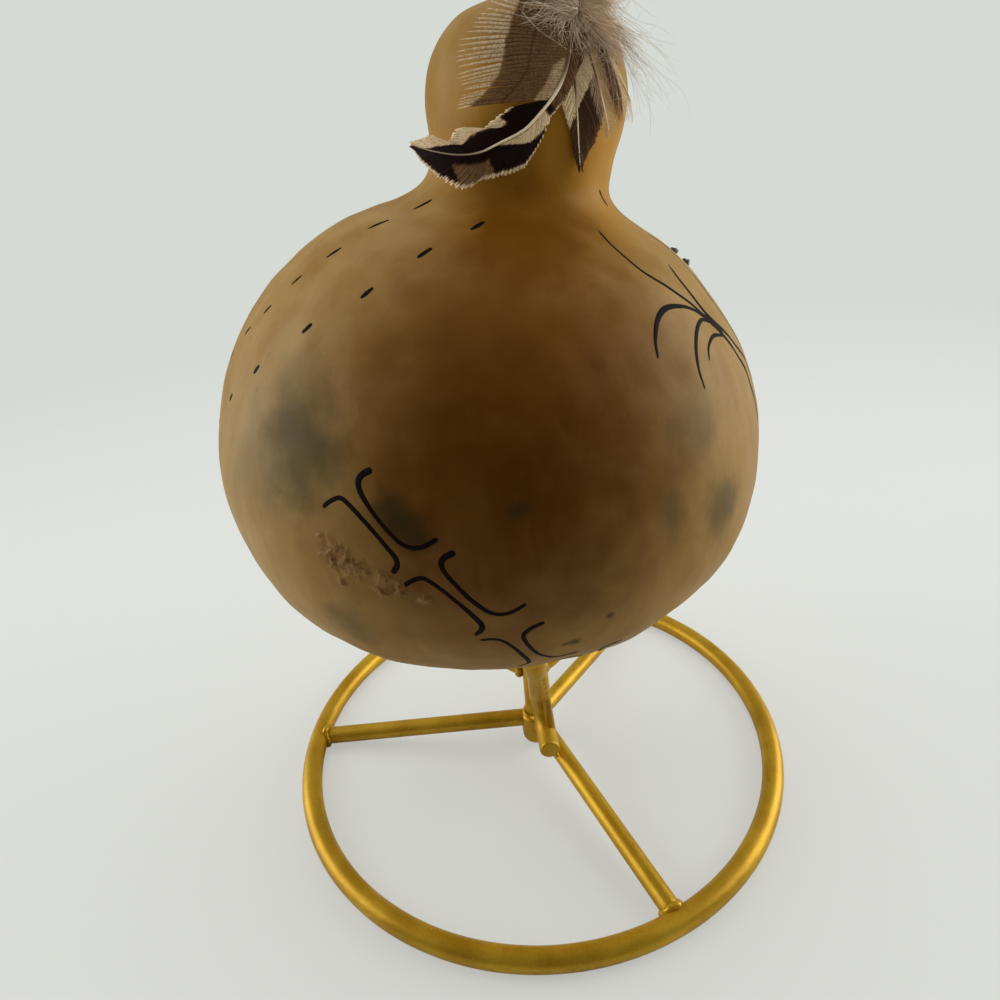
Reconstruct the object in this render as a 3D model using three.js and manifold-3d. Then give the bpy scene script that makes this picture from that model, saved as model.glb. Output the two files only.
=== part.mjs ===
// A painted bottle gourd with feathers tied at its stem, on a welded wire stand.
// Millimetres, +Z up. The origin is the centre of the stand's ring, on the ground; -Y faces the viewer.
import * as THREE from 'three';
import { mergeVertices } from 'three/addons/utils/BufferGeometryUtils.js';
import Module from 'manifold-3d';

const wasm = await Module();
wasm.setup();

const clearance = 0.3;          // left between parts that touch
const facetSlack = 0.1;         // and a little more where the corners of faceted round bars meet

// The stand: bent and welded round rod
const ringRadius = 76.2;        // of the rod's centre line
const ringRod = 6.35;
const spokeRod = 5.6;
const spokeRise = 6.5;          // a spoke's height at the hub over its height at the ring
const spokeTurns = { left: 174.5, front: 294, rear: 54 };
const hubRadius = 4.7;
const hubHeight = 11.2;
const hubFoot = 1.0;            // height of the hub's underside
const postHeight = 34;
const armRod = 6.35;            // the front cradle arm
const armElbow = 5.4;           // how far up and out the front arm's bends reach
const armFoot = { reach: 19.7, aside: 3.1 };  // its end, forward of the post and to the right
const strutRod = 5.6;           // the two rear cradle arms
const strutRoot = 18.7;         // height of their root above the hub
const strutElbow = 9;           // how far out their lower bend reaches
const strutTurns = { left: 150, right: 30 };
const seatRadius = 24;          // of the ring under the gourd
const seatRod = 5.6;
const weldBuild = 1.2;          // how far a weld stands out from its rod
const hubWeldHeight = 2.6;

// The gourd: heights are along its own axis, from the widest part of the belly
const bellyRadius = 69.1;
const bellyDepth = 53.8;        // from the widest part down to the base
const bellyFullness = 1.95;     // 2 is a true ellipse, more is squarer
const shoulderRise = 65.1;
const shoulderFullness = 2.09;
const shoulderEnd = 64;         // degrees up the shoulder where the neck's curve takes over
const waistRadius = 20.8;
const waistHeight = 68.3;
const shoulderHandle = 8.5;     // how far the neck's curve follows the shoulder, then the waist
const waistHandle = 3.7;
const crownRadius = 22.2;
const crownHeight = 82.4;       // of the crown's widest part
const crownRise = 19.9;
const crownFullness = 2.15;
const baseDrift = -12.6;        // sideways shift of the base from the axis
const wall = 4.2;
const gourdLean = 10.6;         // degrees towards +X
const gourdPlace = { x: -6.1, z: 111.1 };

const stemRadius = 3.4;
const stemHeight = 19;
const stemFlare = 1.3;          // at the stem's foot, where it grows out of the crown
const seedSize = { length: 14, width: 7.5, thickness: 3 };
const seedCount = 5;
const chipSize = 1.4;

// The feathers and their cord
const cordThickness = 0.9;
const cordPitch = 1.45;
const stemTurns = 2.5;
const whippingTurns = 4;
const tieHeight = 5.5;          // of the tie above the crown
const tieTurn = -62;            // degrees round the gourd's axis
const bundleFall = 18;          // degrees that the bundled quills slope down, away from the stem
const quillRadius = 0.55;
const quillSpread = 1.05;       // from the middle of the bundle to each quill
const vaneThickness = 0.5;
const barelyLaid = 5;           // of each quill past the whipping, before the vane starts

const radians = THREE.MathUtils.degToRad;
const finish = {
  gold: { color: 0xa07820, roughness: 0.38, metalness: 0.85 },
  weld: { color: 0xb08a30, roughness: 0.5, metalness: 0.8 },
  shell: { color: 0x9c6a2c, roughness: 0.42, metalness: 0 },
  stem: { color: 0x6b4a26, roughness: 0.8, metalness: 0 },
  seed: { color: 0xd2bd92, roughness: 0.7, metalness: 0 },
  chip: { color: 0x3c4a42, roughness: 0.6, metalness: 0 },
  cord: { color: 0x8a7350, roughness: 0.9, metalness: 0 },
  feather: { color: 0x5a3d24, roughness: 0.75, metalness: 0 },
};

const painted_gourd = new THREE.Group();
const leaning = new THREE.Group();
leaning.position.set(gourdPlace.x, 0, gourdPlace.z);
leaning.rotation.y = radians(gourdLean);
leaning.updateMatrixWorld();
painted_gourd.add(leaning);

function addPart(name, geometry, look, parent = painted_gourd) {
  const mesh = new THREE.Mesh(geometry, new THREE.MeshStandardMaterial(finish[look]));
  mesh.name = name;
  parent.add(mesh);
  return mesh;
}

// A closed geometry as a solid that can be joined and cut, and back again
function toSolid(geometry) {
  const bare = geometry.clone();
  bare.deleteAttribute('normal');
  bare.deleteAttribute('uv');
  const merged = mergeVertices(bare, 1e-4);
  return new wasm.Manifold(new wasm.Mesh({
    numProp: 3,
    vertProperties: new Float32Array(merged.attributes.position.array),
    triVerts: new Uint32Array(merged.index.array),
  }));
}

function toGeometry(solid) {
  const mesh = solid.getMesh();
  const geometry = new THREE.BufferGeometry();
  geometry.setAttribute('position', new THREE.BufferAttribute(mesh.vertProperties, 3));
  geometry.setIndex(new THREE.BufferAttribute(mesh.triVerts, 1));
  geometry.computeVertexNormals();
  return geometry;
}

// What is left of a geometry clear of the cutters: its largest piece
function cutAway(geometry, cutters) {
  const left = cutters.map(toSolid).reduce((rest, next) => rest.subtract(next), toSolid(geometry));
  return toGeometry(left.decompose().reduce((most, next) => (next.volume() > most.volume() ? next : most)));
}

function outward(turn, radius, height) {
  return new THREE.Vector3(radius * Math.cos(radians(turn)), radius * Math.sin(radians(turn)), height);
}

// Straight round bar between two points
function bar(from, to, thickness, sides = 14) {
  const along = new THREE.Vector3().subVectors(to, from);
  const geometry = new THREE.CylinderGeometry(thickness / 2, thickness / 2, along.length(), sides);
  const upright = new THREE.Vector3(0, 1, 0);
  const turn = new THREE.Quaternion().setFromUnitVectors(upright, along.clone().normalize());
  return geometry.applyQuaternion(turn).translate(...from.clone().add(to).multiplyScalar(0.5).toArray());
}

// Round bar or cord along a curve
function tube(curve, thickness, steps, sides = 12) {
  const section = new THREE.Shape();
  for (let i = 0; i < sides; i += 1) {
    const turn = (2 * Math.PI * i) / sides;
    const place = [thickness / 2 * Math.cos(turn), thickness / 2 * Math.sin(turn)];
    if (i === 0) section.moveTo(...place);
    else section.lineTo(...place);
  }
  return new THREE.ExtrudeGeometry(section, { steps, extrudePath: curve, curveSegments: 1 });
}

// Ring of round rod lying level, its lowest face flat
function rodRing(radius, thickness, height, around, sides = 12) {
  const profile = [];
  for (let i = 0; i <= sides; i += 1) {
    const turn = 2 * Math.PI * (i + 0.5) / sides - Math.PI / 2;
    profile.push(new THREE.Vector2(
      radius + thickness / 2 * Math.cos(turn), height + thickness / 2 * Math.sin(turn)));
  }
  profile[sides].copy(profile[0]);
  return new THREE.LatheGeometry(profile, around).rotateX(Math.PI / 2);
}

// Ring and spokes
const ringSides = 12;
const ringAround = 60;
const ringHeight = ringRod / 2 * Math.cos(Math.PI / ringSides);
addPart('base_ring', rodRing(ringRadius, ringRod, ringHeight, ringAround, ringSides), 'gold');

// The two ends of a spoke, or of the longer bar that trims what lies against it
function spokeEnds(turn, extra = 0) {
  return [
    outward(turn, hubRadius + clearance - extra, ringHeight + spokeRise),
    outward(turn, ringRadius - ringRod / 2 - clearance + extra, ringHeight),
  ];
}

// A lump of weld: an uneven ball, its X turned some degrees round Z, trimmed clear of the rods that it joins
function weldLump(centre, size, seed, turn = 0) {
  const lump = new THREE.SphereGeometry(1, 12, 8);
  const place = lump.attributes.position;
  for (let i = 0; i < place.count; i += 1) {
    const [x, y, z] = [place.getX(i), place.getY(i), place.getZ(i)];
    const swell = 1 + 0.05 * Math.sin(4 * x + seed) + 0.04 * Math.sin(5 * y + 2 * z + 2 * seed);
    place.setXYZ(i, x * swell * size.x, y * swell * size.y, z * swell * size.z);
  }
  return lump.rotateZ(radians(turn)).translate(centre.x, centre.y, centre.z);
}

const ringTrim = rodRing(ringRadius, ringRod + 2 * clearance, ringHeight, ringAround, ringSides);
const spokeTrims = {};
for (const [side, turn] of Object.entries(spokeTurns)) {
  addPart(`spoke_${side}`, bar(...spokeEnds(turn), spokeRod), 'gold');
  spokeTrims[side] = bar(...spokeEnds(turn, 1), spokeRod + 2 * clearance);
  const reach = spokeRod / 2 + weldBuild;
  const lump = weldLump(
    outward(turn, ringRadius - ringRod / 2 - weldBuild / 2, ringHeight + spokeRod / 8),
    new THREE.Vector3(0.7 * reach, reach, 0.95 * reach), turn, turn);
  addPart(`ring_weld_${side}`, cutAway(lump, [ringTrim, spokeTrims[side]]), 'weld');
}

// Hub and centre post
const hubTop = hubFoot + hubHeight;
const rounding = hubRadius / 3;
const hubProfile = [
  new THREE.Vector2(0, hubFoot),
  new THREE.Vector2(hubRadius - rounding, hubFoot),
  new THREE.Vector2(hubRadius - rounding / 4, hubFoot + rounding / 2),
  new THREE.Vector2(hubRadius, hubFoot + 1.4 * rounding),
  new THREE.Vector2(hubRadius, hubTop - rounding),
  new THREE.Vector2(hubRadius - rounding / 2, hubTop),
  new THREE.Vector2(0, hubTop),
];
addPart('hub', new THREE.LatheGeometry(hubProfile, 20).rotateX(Math.PI / 2), 'gold');
const postFoot = new THREE.Vector3(0, 0, hubTop + clearance);
const postTop = new THREE.Vector3(0, 0, hubTop + clearance + postHeight);
addPart('centre_post', bar(postFoot, postTop, ringRod), 'gold');
const postTrim = bar(postFoot.clone().setZ(hubFoot), postTop, ringRod + 2 * clearance);
const hubTrim = bar(postFoot.clone().setZ(hubFoot), postFoot, 2 * (hubRadius + clearance), 20);
const hubWeldReach = ringRod / 2 + weldBuild;
const hubLump = weldLump(
  postFoot.clone().setZ(hubTop + weldBuild / 2),
  new THREE.Vector3(hubWeldReach, hubWeldReach, hubWeldHeight), 3);
addPart('hub_weld', cutAway(hubLump, [postTrim, hubTrim]), 'weld');

// The gourd's outline: half its width at a height along its axis
function bottomWidth(height, inset = 0) {
  const share = Math.min(-height / (bellyDepth - inset), 1);
  return (bellyRadius - inset) * Math.pow(1 - Math.pow(share, bellyFullness), 1 / bellyFullness);
}

function ellipseArc(width, rise, fullness, from, to, count, base = 0) {
  const points = [];
  for (let i = 0; i <= count; i += 1) {
    const turn = radians(from + (to - from) * i / count);
    points.push(new THREE.Vector2(
      width * Math.pow(Math.max(Math.cos(turn), 0), 2 / fullness),
      base + Math.sign(rise) * Math.abs(rise) * Math.pow(Math.abs(Math.sin(turn)), 2 / fullness)));
  }
  return points;
}

function gourdOutline(inset, counts, topWidth) {
  const base = ellipseArc(bellyRadius - inset, -(bellyDepth - inset), bellyFullness, 90, 0, counts.base);
  base[0].x = 0;
  const shoulder = ellipseArc(
    bellyRadius - inset, shoulderRise - inset, shoulderFullness, 0, shoulderEnd, counts.shoulder);
  const [last, before] = [shoulder.at(-1), shoulder.at(-2)];
  const leaving = last.clone().sub(before).normalize().multiplyScalar(shoulderHandle);
  const waist = new THREE.Vector2(waistRadius - inset, waistHeight);
  const crown = new THREE.Vector2(crownRadius - inset, crownHeight);
  const swell = (crownHeight - waistHeight) / 2;
  const neck = new THREE.CubicBezierCurve(
    last, last.clone().add(leaving), waist.clone().setY(waistHeight - waistHandle), waist);
  const rise = new THREE.CubicBezierCurve(
    waist, waist.clone().setY(waistHeight + swell), crown.clone().setY(crownHeight - swell), crown);
  const dome = ellipseArc(
    crownRadius - inset, crownRise - inset, crownFullness, 0, 90, counts.dome, crownHeight)
    .filter((point) => point.x > topWidth);
  const brim = crownHeight + (crownRise - inset)
    * Math.pow(1 - Math.pow(topWidth / (crownRadius - inset), crownFullness), 1 / crownFullness);
  dome.push(new THREE.Vector2(topWidth, brim));
  return [
    ...base, ...shoulder.slice(1), ...neck.getPoints(counts.neck).slice(1),
    ...rise.getPoints(counts.rise).slice(1), ...dome.slice(1),
  ];
}

// The base is shifted more and more the lower it lies
function driftAt(height) {
  return baseDrift * Math.pow(Math.min(height, 0) / bellyDepth, 2);
}

const holeRadius = stemRadius + clearance;
const outside = gourdOutline(0, { base: 9, shoulder: 8, neck: 4, rise: 3, dome: 6 }, holeRadius);
const inside = gourdOutline(wall, { base: 6, shoulder: 6, neck: 3, rise: 2, dome: 3 }, holeRadius);
const shell = new THREE.LatheGeometry([...outside, ...inside.reverse()], 42).rotateX(Math.PI / 2);
const shellPlace = shell.attributes.position;
for (let i = 0; i < shellPlace.count; i += 1) {
  shellPlace.setX(i, shellPlace.getX(i) + driftAt(shellPlace.getZ(i)));
}
addPart('gourd_shell', shell, 'shell', leaning);

// Half the gourd's width at any height, read off its outline
const skinPoints = gourdOutline(0, { base: 24, shoulder: 24, neck: 12, rise: 8, dome: 24 }, 0);
function skinRadius(height) {
  const next = skinPoints.findIndex((point) => point.y >= height);
  if (next <= 0) return 0;
  const [low, high] = [skinPoints[next - 1], skinPoints[next]];
  return THREE.MathUtils.mapLinear(height, low.y, high.y, low.x, high.x);
}

// Height above the ground of the gourd's underside, or of its inner floor, over a place on the ground
function undersideHeight(x, y, inset = 0) {
  let [below, within] = [0, gourdPlace.z];
  for (let i = 0; i < 30; i += 1) {
    const middle = (below + within) / 2;
    const place = leaning.worldToLocal(new THREE.Vector3(x, y, middle));
    const width = place.z < inset - bellyDepth ? -1 : bottomWidth(Math.min(place.z, 0), inset);
    if (Math.hypot(place.x - driftAt(place.z), place.y) < width) within = middle;
    else below = middle;
  }
  return within;
}

// Where the floor of the hollow is lowest, along X
let lowestFloor = 0;
for (let x = -bellyRadius / 2; x < bellyRadius / 2; x += 0.5) {
  if (undersideHeight(x, 0, wall) < undersideHeight(lowestFloor, 0, wall)) lowestFloor = x;
}

// The seat ring lies as high as the gourd's underside lets it, level from front to back,
// and tilted so that both sides of the gourd's weight are carried
function seatHeightAt(tilt) {
  let height = Infinity;
  for (let turn = 0; turn < 360; turn += 15) {
    for (const share of [-0.9, -0.6, -0.3, 0, 0.3, 0.6, 0.9]) {
      const reach = seatRod / 2 + clearance;
      const spot = outward(turn, seatRadius + share * reach, 0);
      const crest = reach * Math.sqrt(1 - share * share);
      height = Math.min(height, undersideHeight(spot.x, spot.y) - crest - tilt * spot.x);
    }
  }
  return height;
}

let seat = { tilt: 0, height: -Infinity };
for (let tilt = -0.2; tilt <= 0.2; tilt += 0.01) {
  const height = seatHeightAt(tilt);
  if (height + tilt * gourdPlace.x > seat.height + seat.tilt * gourdPlace.x) seat = { tilt, height };
}

function onSeat(turn, radius, drop = 0) {
  const spot = outward(turn, radius, 0);
  return spot.setZ(seat.height + seat.tilt * spot.x - drop);
}

function tiltedRing(thickness) {
  return rodRing(seatRadius, thickness, 0, 40, 10)
    .rotateY(-Math.atan(seat.tilt)).translate(0, 0, seat.height);
}
addPart('seat_ring', tiltedRing(seatRod), 'gold');
const seatTrim = tiltedRing(seatRod + 2 * clearance);

// Front cradle arm: down from the seat, along the post, and turned forward over the front spoke
const [spokeHigh, spokeLow] = spokeEnds(spokeTurns.front);
const spokeAtFoot = THREE.MathUtils.mapLinear(
  armFoot.reach, hubRadius, ringRadius - ringRod / 2, spokeHigh.z, spokeLow.z);
const footHeight = spokeAtFoot + (spokeRod + armRod) / 2 + clearance + facetSlack;
const besidePost = (ringRod + armRod) / 2 + clearance + facetSlack;
const underSeat = seatRod / 2 + clearance + facetSlack;
const armTop = onSeat(270, seatRadius, underSeat);
const armRoute = [
  [0, seatRadius, armTop.z],
  [0.13, seatRadius - 0.2 * armElbow, armTop.z - 0.85 * armElbow],
  [0.32, seatRadius - 1.1 * armElbow, armTop.z - 2.2 * armElbow],
  [0.45, besidePost + armElbow, footHeight + 3.4 * armElbow],
  [0.55, besidePost + 0.15 * armElbow, footHeight + 2 * armElbow],
  [0.68, besidePost + 0.07 * armElbow, footHeight + armElbow],
  [0.84, besidePost + 0.8 * armElbow, footHeight + 0.17 * armElbow],
  [0.94, armFoot.reach - 0.65 * armElbow, footHeight],
  [1, armFoot.reach, footHeight],
].map(([share, forward, height]) => new THREE.Vector3(armFoot.aside * share, -forward, height));
const armPath = new THREE.CatmullRomCurve3(armRoute, false, 'centripetal');
const armSteps = 34;
addPart('cradle_arm_front', tube(armPath, armRod, armSteps), 'gold');
const armTrim = tube(armPath, armRod + 2 * clearance, armSteps);

// Rear cradle arms: out from the post and up to the seat. A longer path trims the welds.
const strutHeight = hubTop + strutRoot;
const strutSteps = 20;
const strutTrims = {};
function strutPath(turn, extra) {
  const start = ringRod / 2 + clearance;
  const top = onSeat(turn, seatRadius, underSeat);
  return new THREE.CatmullRomCurve3([
    outward(turn, start - extra, strutHeight),
    outward(turn, start + 0.28 * strutElbow, strutHeight),
    outward(turn, start + strutElbow, strutHeight + 0.38 * strutElbow),
    outward(turn, seatRadius - 0.36 * strutElbow, top.z - strutElbow),
    outward(turn, seatRadius, top.z - 0.33 * strutElbow),
    top.clone().setZ(top.z + extra),
  ], false, 'centripetal');
}
for (const [side, turn] of Object.entries(strutTurns)) {
  addPart(`cradle_arm_${side}`, tube(strutPath(turn, 0), strutRod, strutSteps), 'gold');
  strutTrims[side] = tube(strutPath(turn, weldBuild / 2), strutRod + 2 * clearance, strutSteps);
}

// Weld between the arms, the post and the front spoke, and under the seat ring
const postBead = weldLump(
  new THREE.Vector3(0.33 * armFoot.aside, -besidePost / 2, footHeight + 1.57 * armElbow),
  new THREE.Vector3(0.57 * armRod, 0.35 * armRod, 0.5 * armRod), 5);
addPart('post_weld_front', cutAway(postBead, [postTrim, armTrim]), 'weld');
const footBead = weldLump(
  new THREE.Vector3(1.4 * armFoot.aside, armElbow - armFoot.reach, footHeight - armRod / 2),
  new THREE.Vector3(0.54 * armRod, 0.54 * armRod, 0.32 * armRod), 7);
addPart('foot_weld', cutAway(footBead, [armTrim, spokeTrims.front]), 'weld');
const rootReach = strutRod / 2 + 0.8 * weldBuild;
for (const [side, turn] of Object.entries(strutTurns)) {
  const spot = outward(turn, (ringRod + weldBuild) / 2 + 1.2, strutHeight);
  const bead = weldLump(spot, new THREE.Vector3(0.8 * rootReach, rootReach, rootReach), turn, turn);
  addPart(`post_weld_${side}`, cutAway(bead, [postTrim, strutTrims[side]]), 'weld');
}
const seatJoins = {
  front: [270, armRod, armTrim],
  left: [strutTurns.left, strutRod, strutTrims.left],
  right: [strutTurns.right, strutRod, strutTrims.right],
};
for (const [side, [turn, rod, trim]] of Object.entries(seatJoins)) {
  const spot = onSeat(turn, seatRadius, seatRod / 2 + 2 * clearance);
  const reach = rod / 2 + weldBuild;
  const bead = weldLump(spot, new THREE.Vector3(reach, reach, reach), 11);
  addPart(`seat_weld_${side}`, cutAway(bead, [trim, seatTrim]), 'weld');
}

// Stem: its root fills the hole in the crown
const crownTop = crownHeight + crownRise;
const stemProfile = [
  [0, -wall], [stemRadius, -wall], [stemRadius, 0.5 * stemFlare], [stemRadius + stemFlare, 1.2 * stemFlare],
  [stemRadius + 0.2 * stemFlare, 2.6 * stemFlare], [stemRadius, 3.4 * stemFlare],
  [stemRadius - 0.15 * stemFlare, stemHeight - 3 * stemFlare],
  [stemRadius + 0.4 * stemFlare, stemHeight - 0.8 * stemFlare],
  [stemRadius - 0.5 * stemFlare, stemHeight], [0, stemHeight + 0.2 * stemFlare],
].map(([width, height]) => new THREE.Vector2(width, crownTop + height));
addPart('stem', new THREE.LatheGeometry(stemProfile, 18).rotateX(Math.PI / 2), 'stem', leaning);

// Dry seeds, loose on the floor of the hollow
for (let i = 0; i < seedCount; i += 1) {
  const spot = outward(360 * i / seedCount, seedSize.length * 1.1, 0);
  spot.x += lowestFloor;
  const seed = new THREE.SphereGeometry(0.5, 10, 6)
    .scale(seedSize.length, seedSize.width, seedSize.thickness)
    .rotateZ(radians(35 + 75 * i))
    .translate(spot.x, spot.y, 0);
  const place = seed.attributes.position;
  let floor = 0;
  for (let k = 0; k < place.count; k += 1) {
    floor = Math.max(floor, undersideHeight(place.getX(k), place.getY(k), wall) - place.getZ(k));
  }
  addPart(`seed_${i + 1}`, seed.translate(0, 0, floor + clearance + facetSlack), 'seed');
}

// A point a gap away from the gourd's skin, square to it, in the gourd's own frame
function besideSkin(turn, height, gap) {
  const slope = skinRadius(height + 0.5) - skinRadius(height - 0.5);
  const level = gap / Math.hypot(1, slope);
  return outward(turn, skinRadius(height) + level, height - slope * level);
}

// Crumbs of stone set on the shoulder: degrees round it, height, and share of the full size
const crumbs = [[13.5, 52.4, 0.95], [11, 50.1, 1.05], [17.8, 50.5, 0.85]];
crumbs.forEach(([turn, height, share], i) => {
  const crumb = new THREE.IcosahedronGeometry(chipSize * share, 0)
    .scale(1.15, 0.9, 0.8).rotateX(i).rotateZ(2 * i);
  const place = crumb.attributes.position;
  const [start, square] = [besideSkin(turn, height, 0), besideSkin(turn, height, 1)];
  square.sub(start);
  let sunk = 0;
  for (let k = 0; k < place.count; k += 1) {
    sunk = Math.max(sunk, -square.dot(new THREE.Vector3().fromBufferAttribute(place, k)));
  }
  crumb.translate(...start.addScaledVector(square, sunk + clearance + facetSlack).toArray());
  addPart(`stone_crumb_${i + 1}`, crumb, 'chip', leaning);
});

// Cord wound round an axis: one unbroken tube, its turns a pitch apart
const stepsPerTurn = 24;
class Winding extends THREE.Curve {
  constructor(radius, turns) {
    super();
    Object.assign(this, { radius, turns });
  }

  getPoint(share, target = new THREE.Vector3()) {
    const turn = 2 * Math.PI * this.turns * share;
    const height = cordPitch * this.turns * (share - 0.5);
    return target.set(this.radius * Math.cos(turn), this.radius * Math.sin(turn), height);
  }
}

function winding(name, radius, turns) {
  const curve = new Winding(radius, turns);
  const steps = Math.round(stepsPerTurn * turns);
  const points = curve.getPoints(steps);
  let least = Infinity;
  points.forEach((here, i) => points.slice(i + stepsPerTurn / 2).forEach((there) => {
    least = Math.min(least, here.distanceTo(there) - cordThickness);
  }));
  console.log(`${name}: least gap between turns ${least.toFixed(2)} mm`);
  return tube(curve, cordThickness, steps, 6);
}

const cordLift = stemRadius + clearance + facetSlack + cordThickness / 2;
addPart('stem_cord', winding('stem_cord', cordLift, stemTurns)
  .translate(0, 0, crownTop + tieHeight + cordPitch), 'cord', leaning);

// The quills lie in a bundle, whipped with cord, that starts beside the stem's cord
const bundleStart = cordLift + cordThickness / 2 + 2 * clearance;
const whippingRadius = quillSpread + quillRadius + clearance + facetSlack + cordThickness / 2;
const whippingLength = cordPitch * whippingTurns + cordThickness;
function bundlePoint(along) {
  const fall = radians(bundleFall);
  const height = crownTop + tieHeight - along * Math.sin(fall);
  return outward(tieTurn, bundleStart + along * Math.cos(fall), height);
}
const whipping = winding('quill_whipping', whippingRadius, whippingTurns)
  .rotateY(Math.PI / 2 + radians(bundleFall))
  .rotateZ(radians(tieTurn))
  .translate(...bundlePoint(whippingLength / 2 + 2 * clearance).toArray());
addPart('quill_whipping', whipping, 'cord', leaning);

// A feather: a vane on a quill, laid over the gourd. Its spine is a list of places: degrees round
// the gourd, distance below the crown's top, and gap to the skin. The vane's two widths are lists too.
const flatTop = crownTop - 4;
const quillLength = whippingLength + 4 * clearance;
const bareLength = quillLength + barelyLaid;
function laidRadius(height) {
  return skinRadius(Math.min(height, flatTop));
}

function feather({ corner, spine, left, right, sections }) {
  const [across, up] = [quillSpread * Math.cos(radians(corner)), quillSpread * Math.sin(radians(corner))];
  const aside = outward(tieTurn + 90, across, up);
  const quill = [0, quillLength / 2, quillLength].map((along) => bundlePoint(along).add(aside));
  const overSkin = spine.map(([turn, below, gap]) =>
    outward(turn, laidRadius(crownTop - below) + gap, crownTop - below));
  const curve = new THREE.CatmullRomCurve3([...quill, ...overSkin], false, 'centripetal');
  const bare = bareLength / curve.getLength();
  const widthAt = (list, share) => {
    const place = Math.max(share - bare, 0) / (1 - bare) * (list.length - 1);
    const i = Math.min(Math.floor(place), list.length - 2);
    return Math.max(THREE.MathUtils.lerp(list[i], list[i + 1], place - i), quillRadius);
  };
  const vane = new THREE.BoxGeometry(1, 2, 2, sections, 6, 1);
  const place = vane.attributes.position;
  for (let i = 0; i < place.count; i += 1) {
    const share = place.getX(i) + 0.5;
    const side = place.getY(i);
    const middle = curve.getPointAt(share);
    const along = curve.getTangentAt(share);
    const turn = Math.atan2(middle.y, middle.x);
    const radial = new THREE.Vector3(Math.cos(turn), Math.sin(turn), 0);
    const level = new THREE.Vector3(-radial.y, radial.x, 0);
    const upright = 1 - THREE.MathUtils.smoothstep(share, bare * 0.8, bare * 1.5);
    const face = radial.clone().setZ(upright);
    face.addScaledVector(along, -face.dot(along)).normalize();
    const sideways = new THREE.Vector3().crossVectors(face, along);
    const isVane = share > bare;
    const width = isVane ? side * widthAt(side < 0 ? left : right, share) : side * quillRadius;
    const thick = place.getZ(i) * (isVane && Math.abs(side) > 0.01 ? vaneThickness / 2 : quillRadius);
    const start = Math.hypot(middle.x, middle.y);
    const rise = width * sideways.z;
    const laid = laidRadius(middle.z + rise) - laidRadius(middle.z);
    const follow = isVane ? laid : width * sideways.dot(radial);
    const radius = start + follow + thick * face.dot(radial);
    const swing = turn + (width * sideways.dot(level) + thick * face.dot(level)) / start;
    place.setXYZ(i, radius * Math.cos(swing), radius * Math.sin(swing), middle.z + rise + thick * face.z);
  }
  return vane;
}

addPart('feather_curled', feather({
  corner: 135,
  spine: [
    [-70, 2.3, 4.8], [-76, 7.9, 5.2], [-78, 11, 4.9], [-80, 15.3, 4.6], [-83, 18.5, 4.6], [-89, 22.5, 4.8],
    [-94, 25.3, 5.1], [-103, 28.1, 5.6], [-111, 30.3, 6.3], [-119, 31.2, 6.8], [-130, 31.6, 7.3],
    [-143, 31.8, 7.8],
  ],
  left: [0.7, 16, 22, 23, 19, 6, 3.6, 4.2, 4.6, 4.4, 3.6, 0.6],
  right: [0.7, 3, 5, 5, 5, 5, 5.4, 5.6, 5.4, 5, 3.6, 0.6],
  sections: 30,
}), 'feather', leaning);

addPart('feather_banded', feather({
  corner: 225,
  spine: [
    [-67, 2.4, 1.2], [-74, 9.2, 1.2], [-72, 15.7, 1.2], [-68, 22.3, 1.2], [-64, 27.5, 1.4], [-62, 30.6, 1.6],
  ],
  left: [0.8, 2.2, 3.4, 3.4, 3, 2, 0.6],
  right: [0.7, 1.4, 2, 2.4, 2.4, 1.8, 0.6],
  sections: 18,
}), 'feather', leaning);

addPart('feather_fine', feather({
  corner: 45,
  spine: [[-62, 2.2, 3.3], [-67, 8.9, 2.9], [-62, 15.3, 2.8], [-56, 20.1, 2.8], [-51, 23.5, 2.8]],
  left: [0.7, 1.2, 1.8, 2, 1.8, 0.6],
  right: [0.6, 1.4, 2.4, 2.8, 2.4, 0.6],
  sections: 16,
}), 'feather', leaning);

addPart('feather_downy', feather({
  corner: 315,
  spine: [[-46, 1.8, 1.2], [-53, 6.8, 1.0], [-52, 11.5, 1.2], [-43, 17.9, 1.4]],
  left: [0.6, 1.2, 1.8, 1.6, 0.6],
  right: [0.8, 3, 6, 6.5, 0.6],
  sections: 14,
}), 'feather', leaning);

export default painted_gourd;
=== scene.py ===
from math import cos, radians, sin, tau

import bpy
import numpy as np
from mathutils import Matrix, Vector


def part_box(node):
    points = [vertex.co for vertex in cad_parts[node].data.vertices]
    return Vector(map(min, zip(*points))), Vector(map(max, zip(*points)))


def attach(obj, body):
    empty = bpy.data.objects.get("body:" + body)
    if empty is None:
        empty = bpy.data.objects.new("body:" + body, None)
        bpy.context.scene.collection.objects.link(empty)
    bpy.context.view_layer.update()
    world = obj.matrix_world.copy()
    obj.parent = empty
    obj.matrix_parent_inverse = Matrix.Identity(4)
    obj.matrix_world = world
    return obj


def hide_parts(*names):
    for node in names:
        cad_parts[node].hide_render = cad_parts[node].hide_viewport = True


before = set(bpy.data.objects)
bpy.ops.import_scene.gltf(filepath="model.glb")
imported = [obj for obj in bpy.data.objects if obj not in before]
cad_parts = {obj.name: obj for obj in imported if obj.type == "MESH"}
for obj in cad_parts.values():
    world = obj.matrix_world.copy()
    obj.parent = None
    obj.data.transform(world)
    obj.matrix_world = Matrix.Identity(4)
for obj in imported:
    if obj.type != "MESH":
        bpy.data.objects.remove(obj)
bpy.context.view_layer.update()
mm = 0.001

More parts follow.
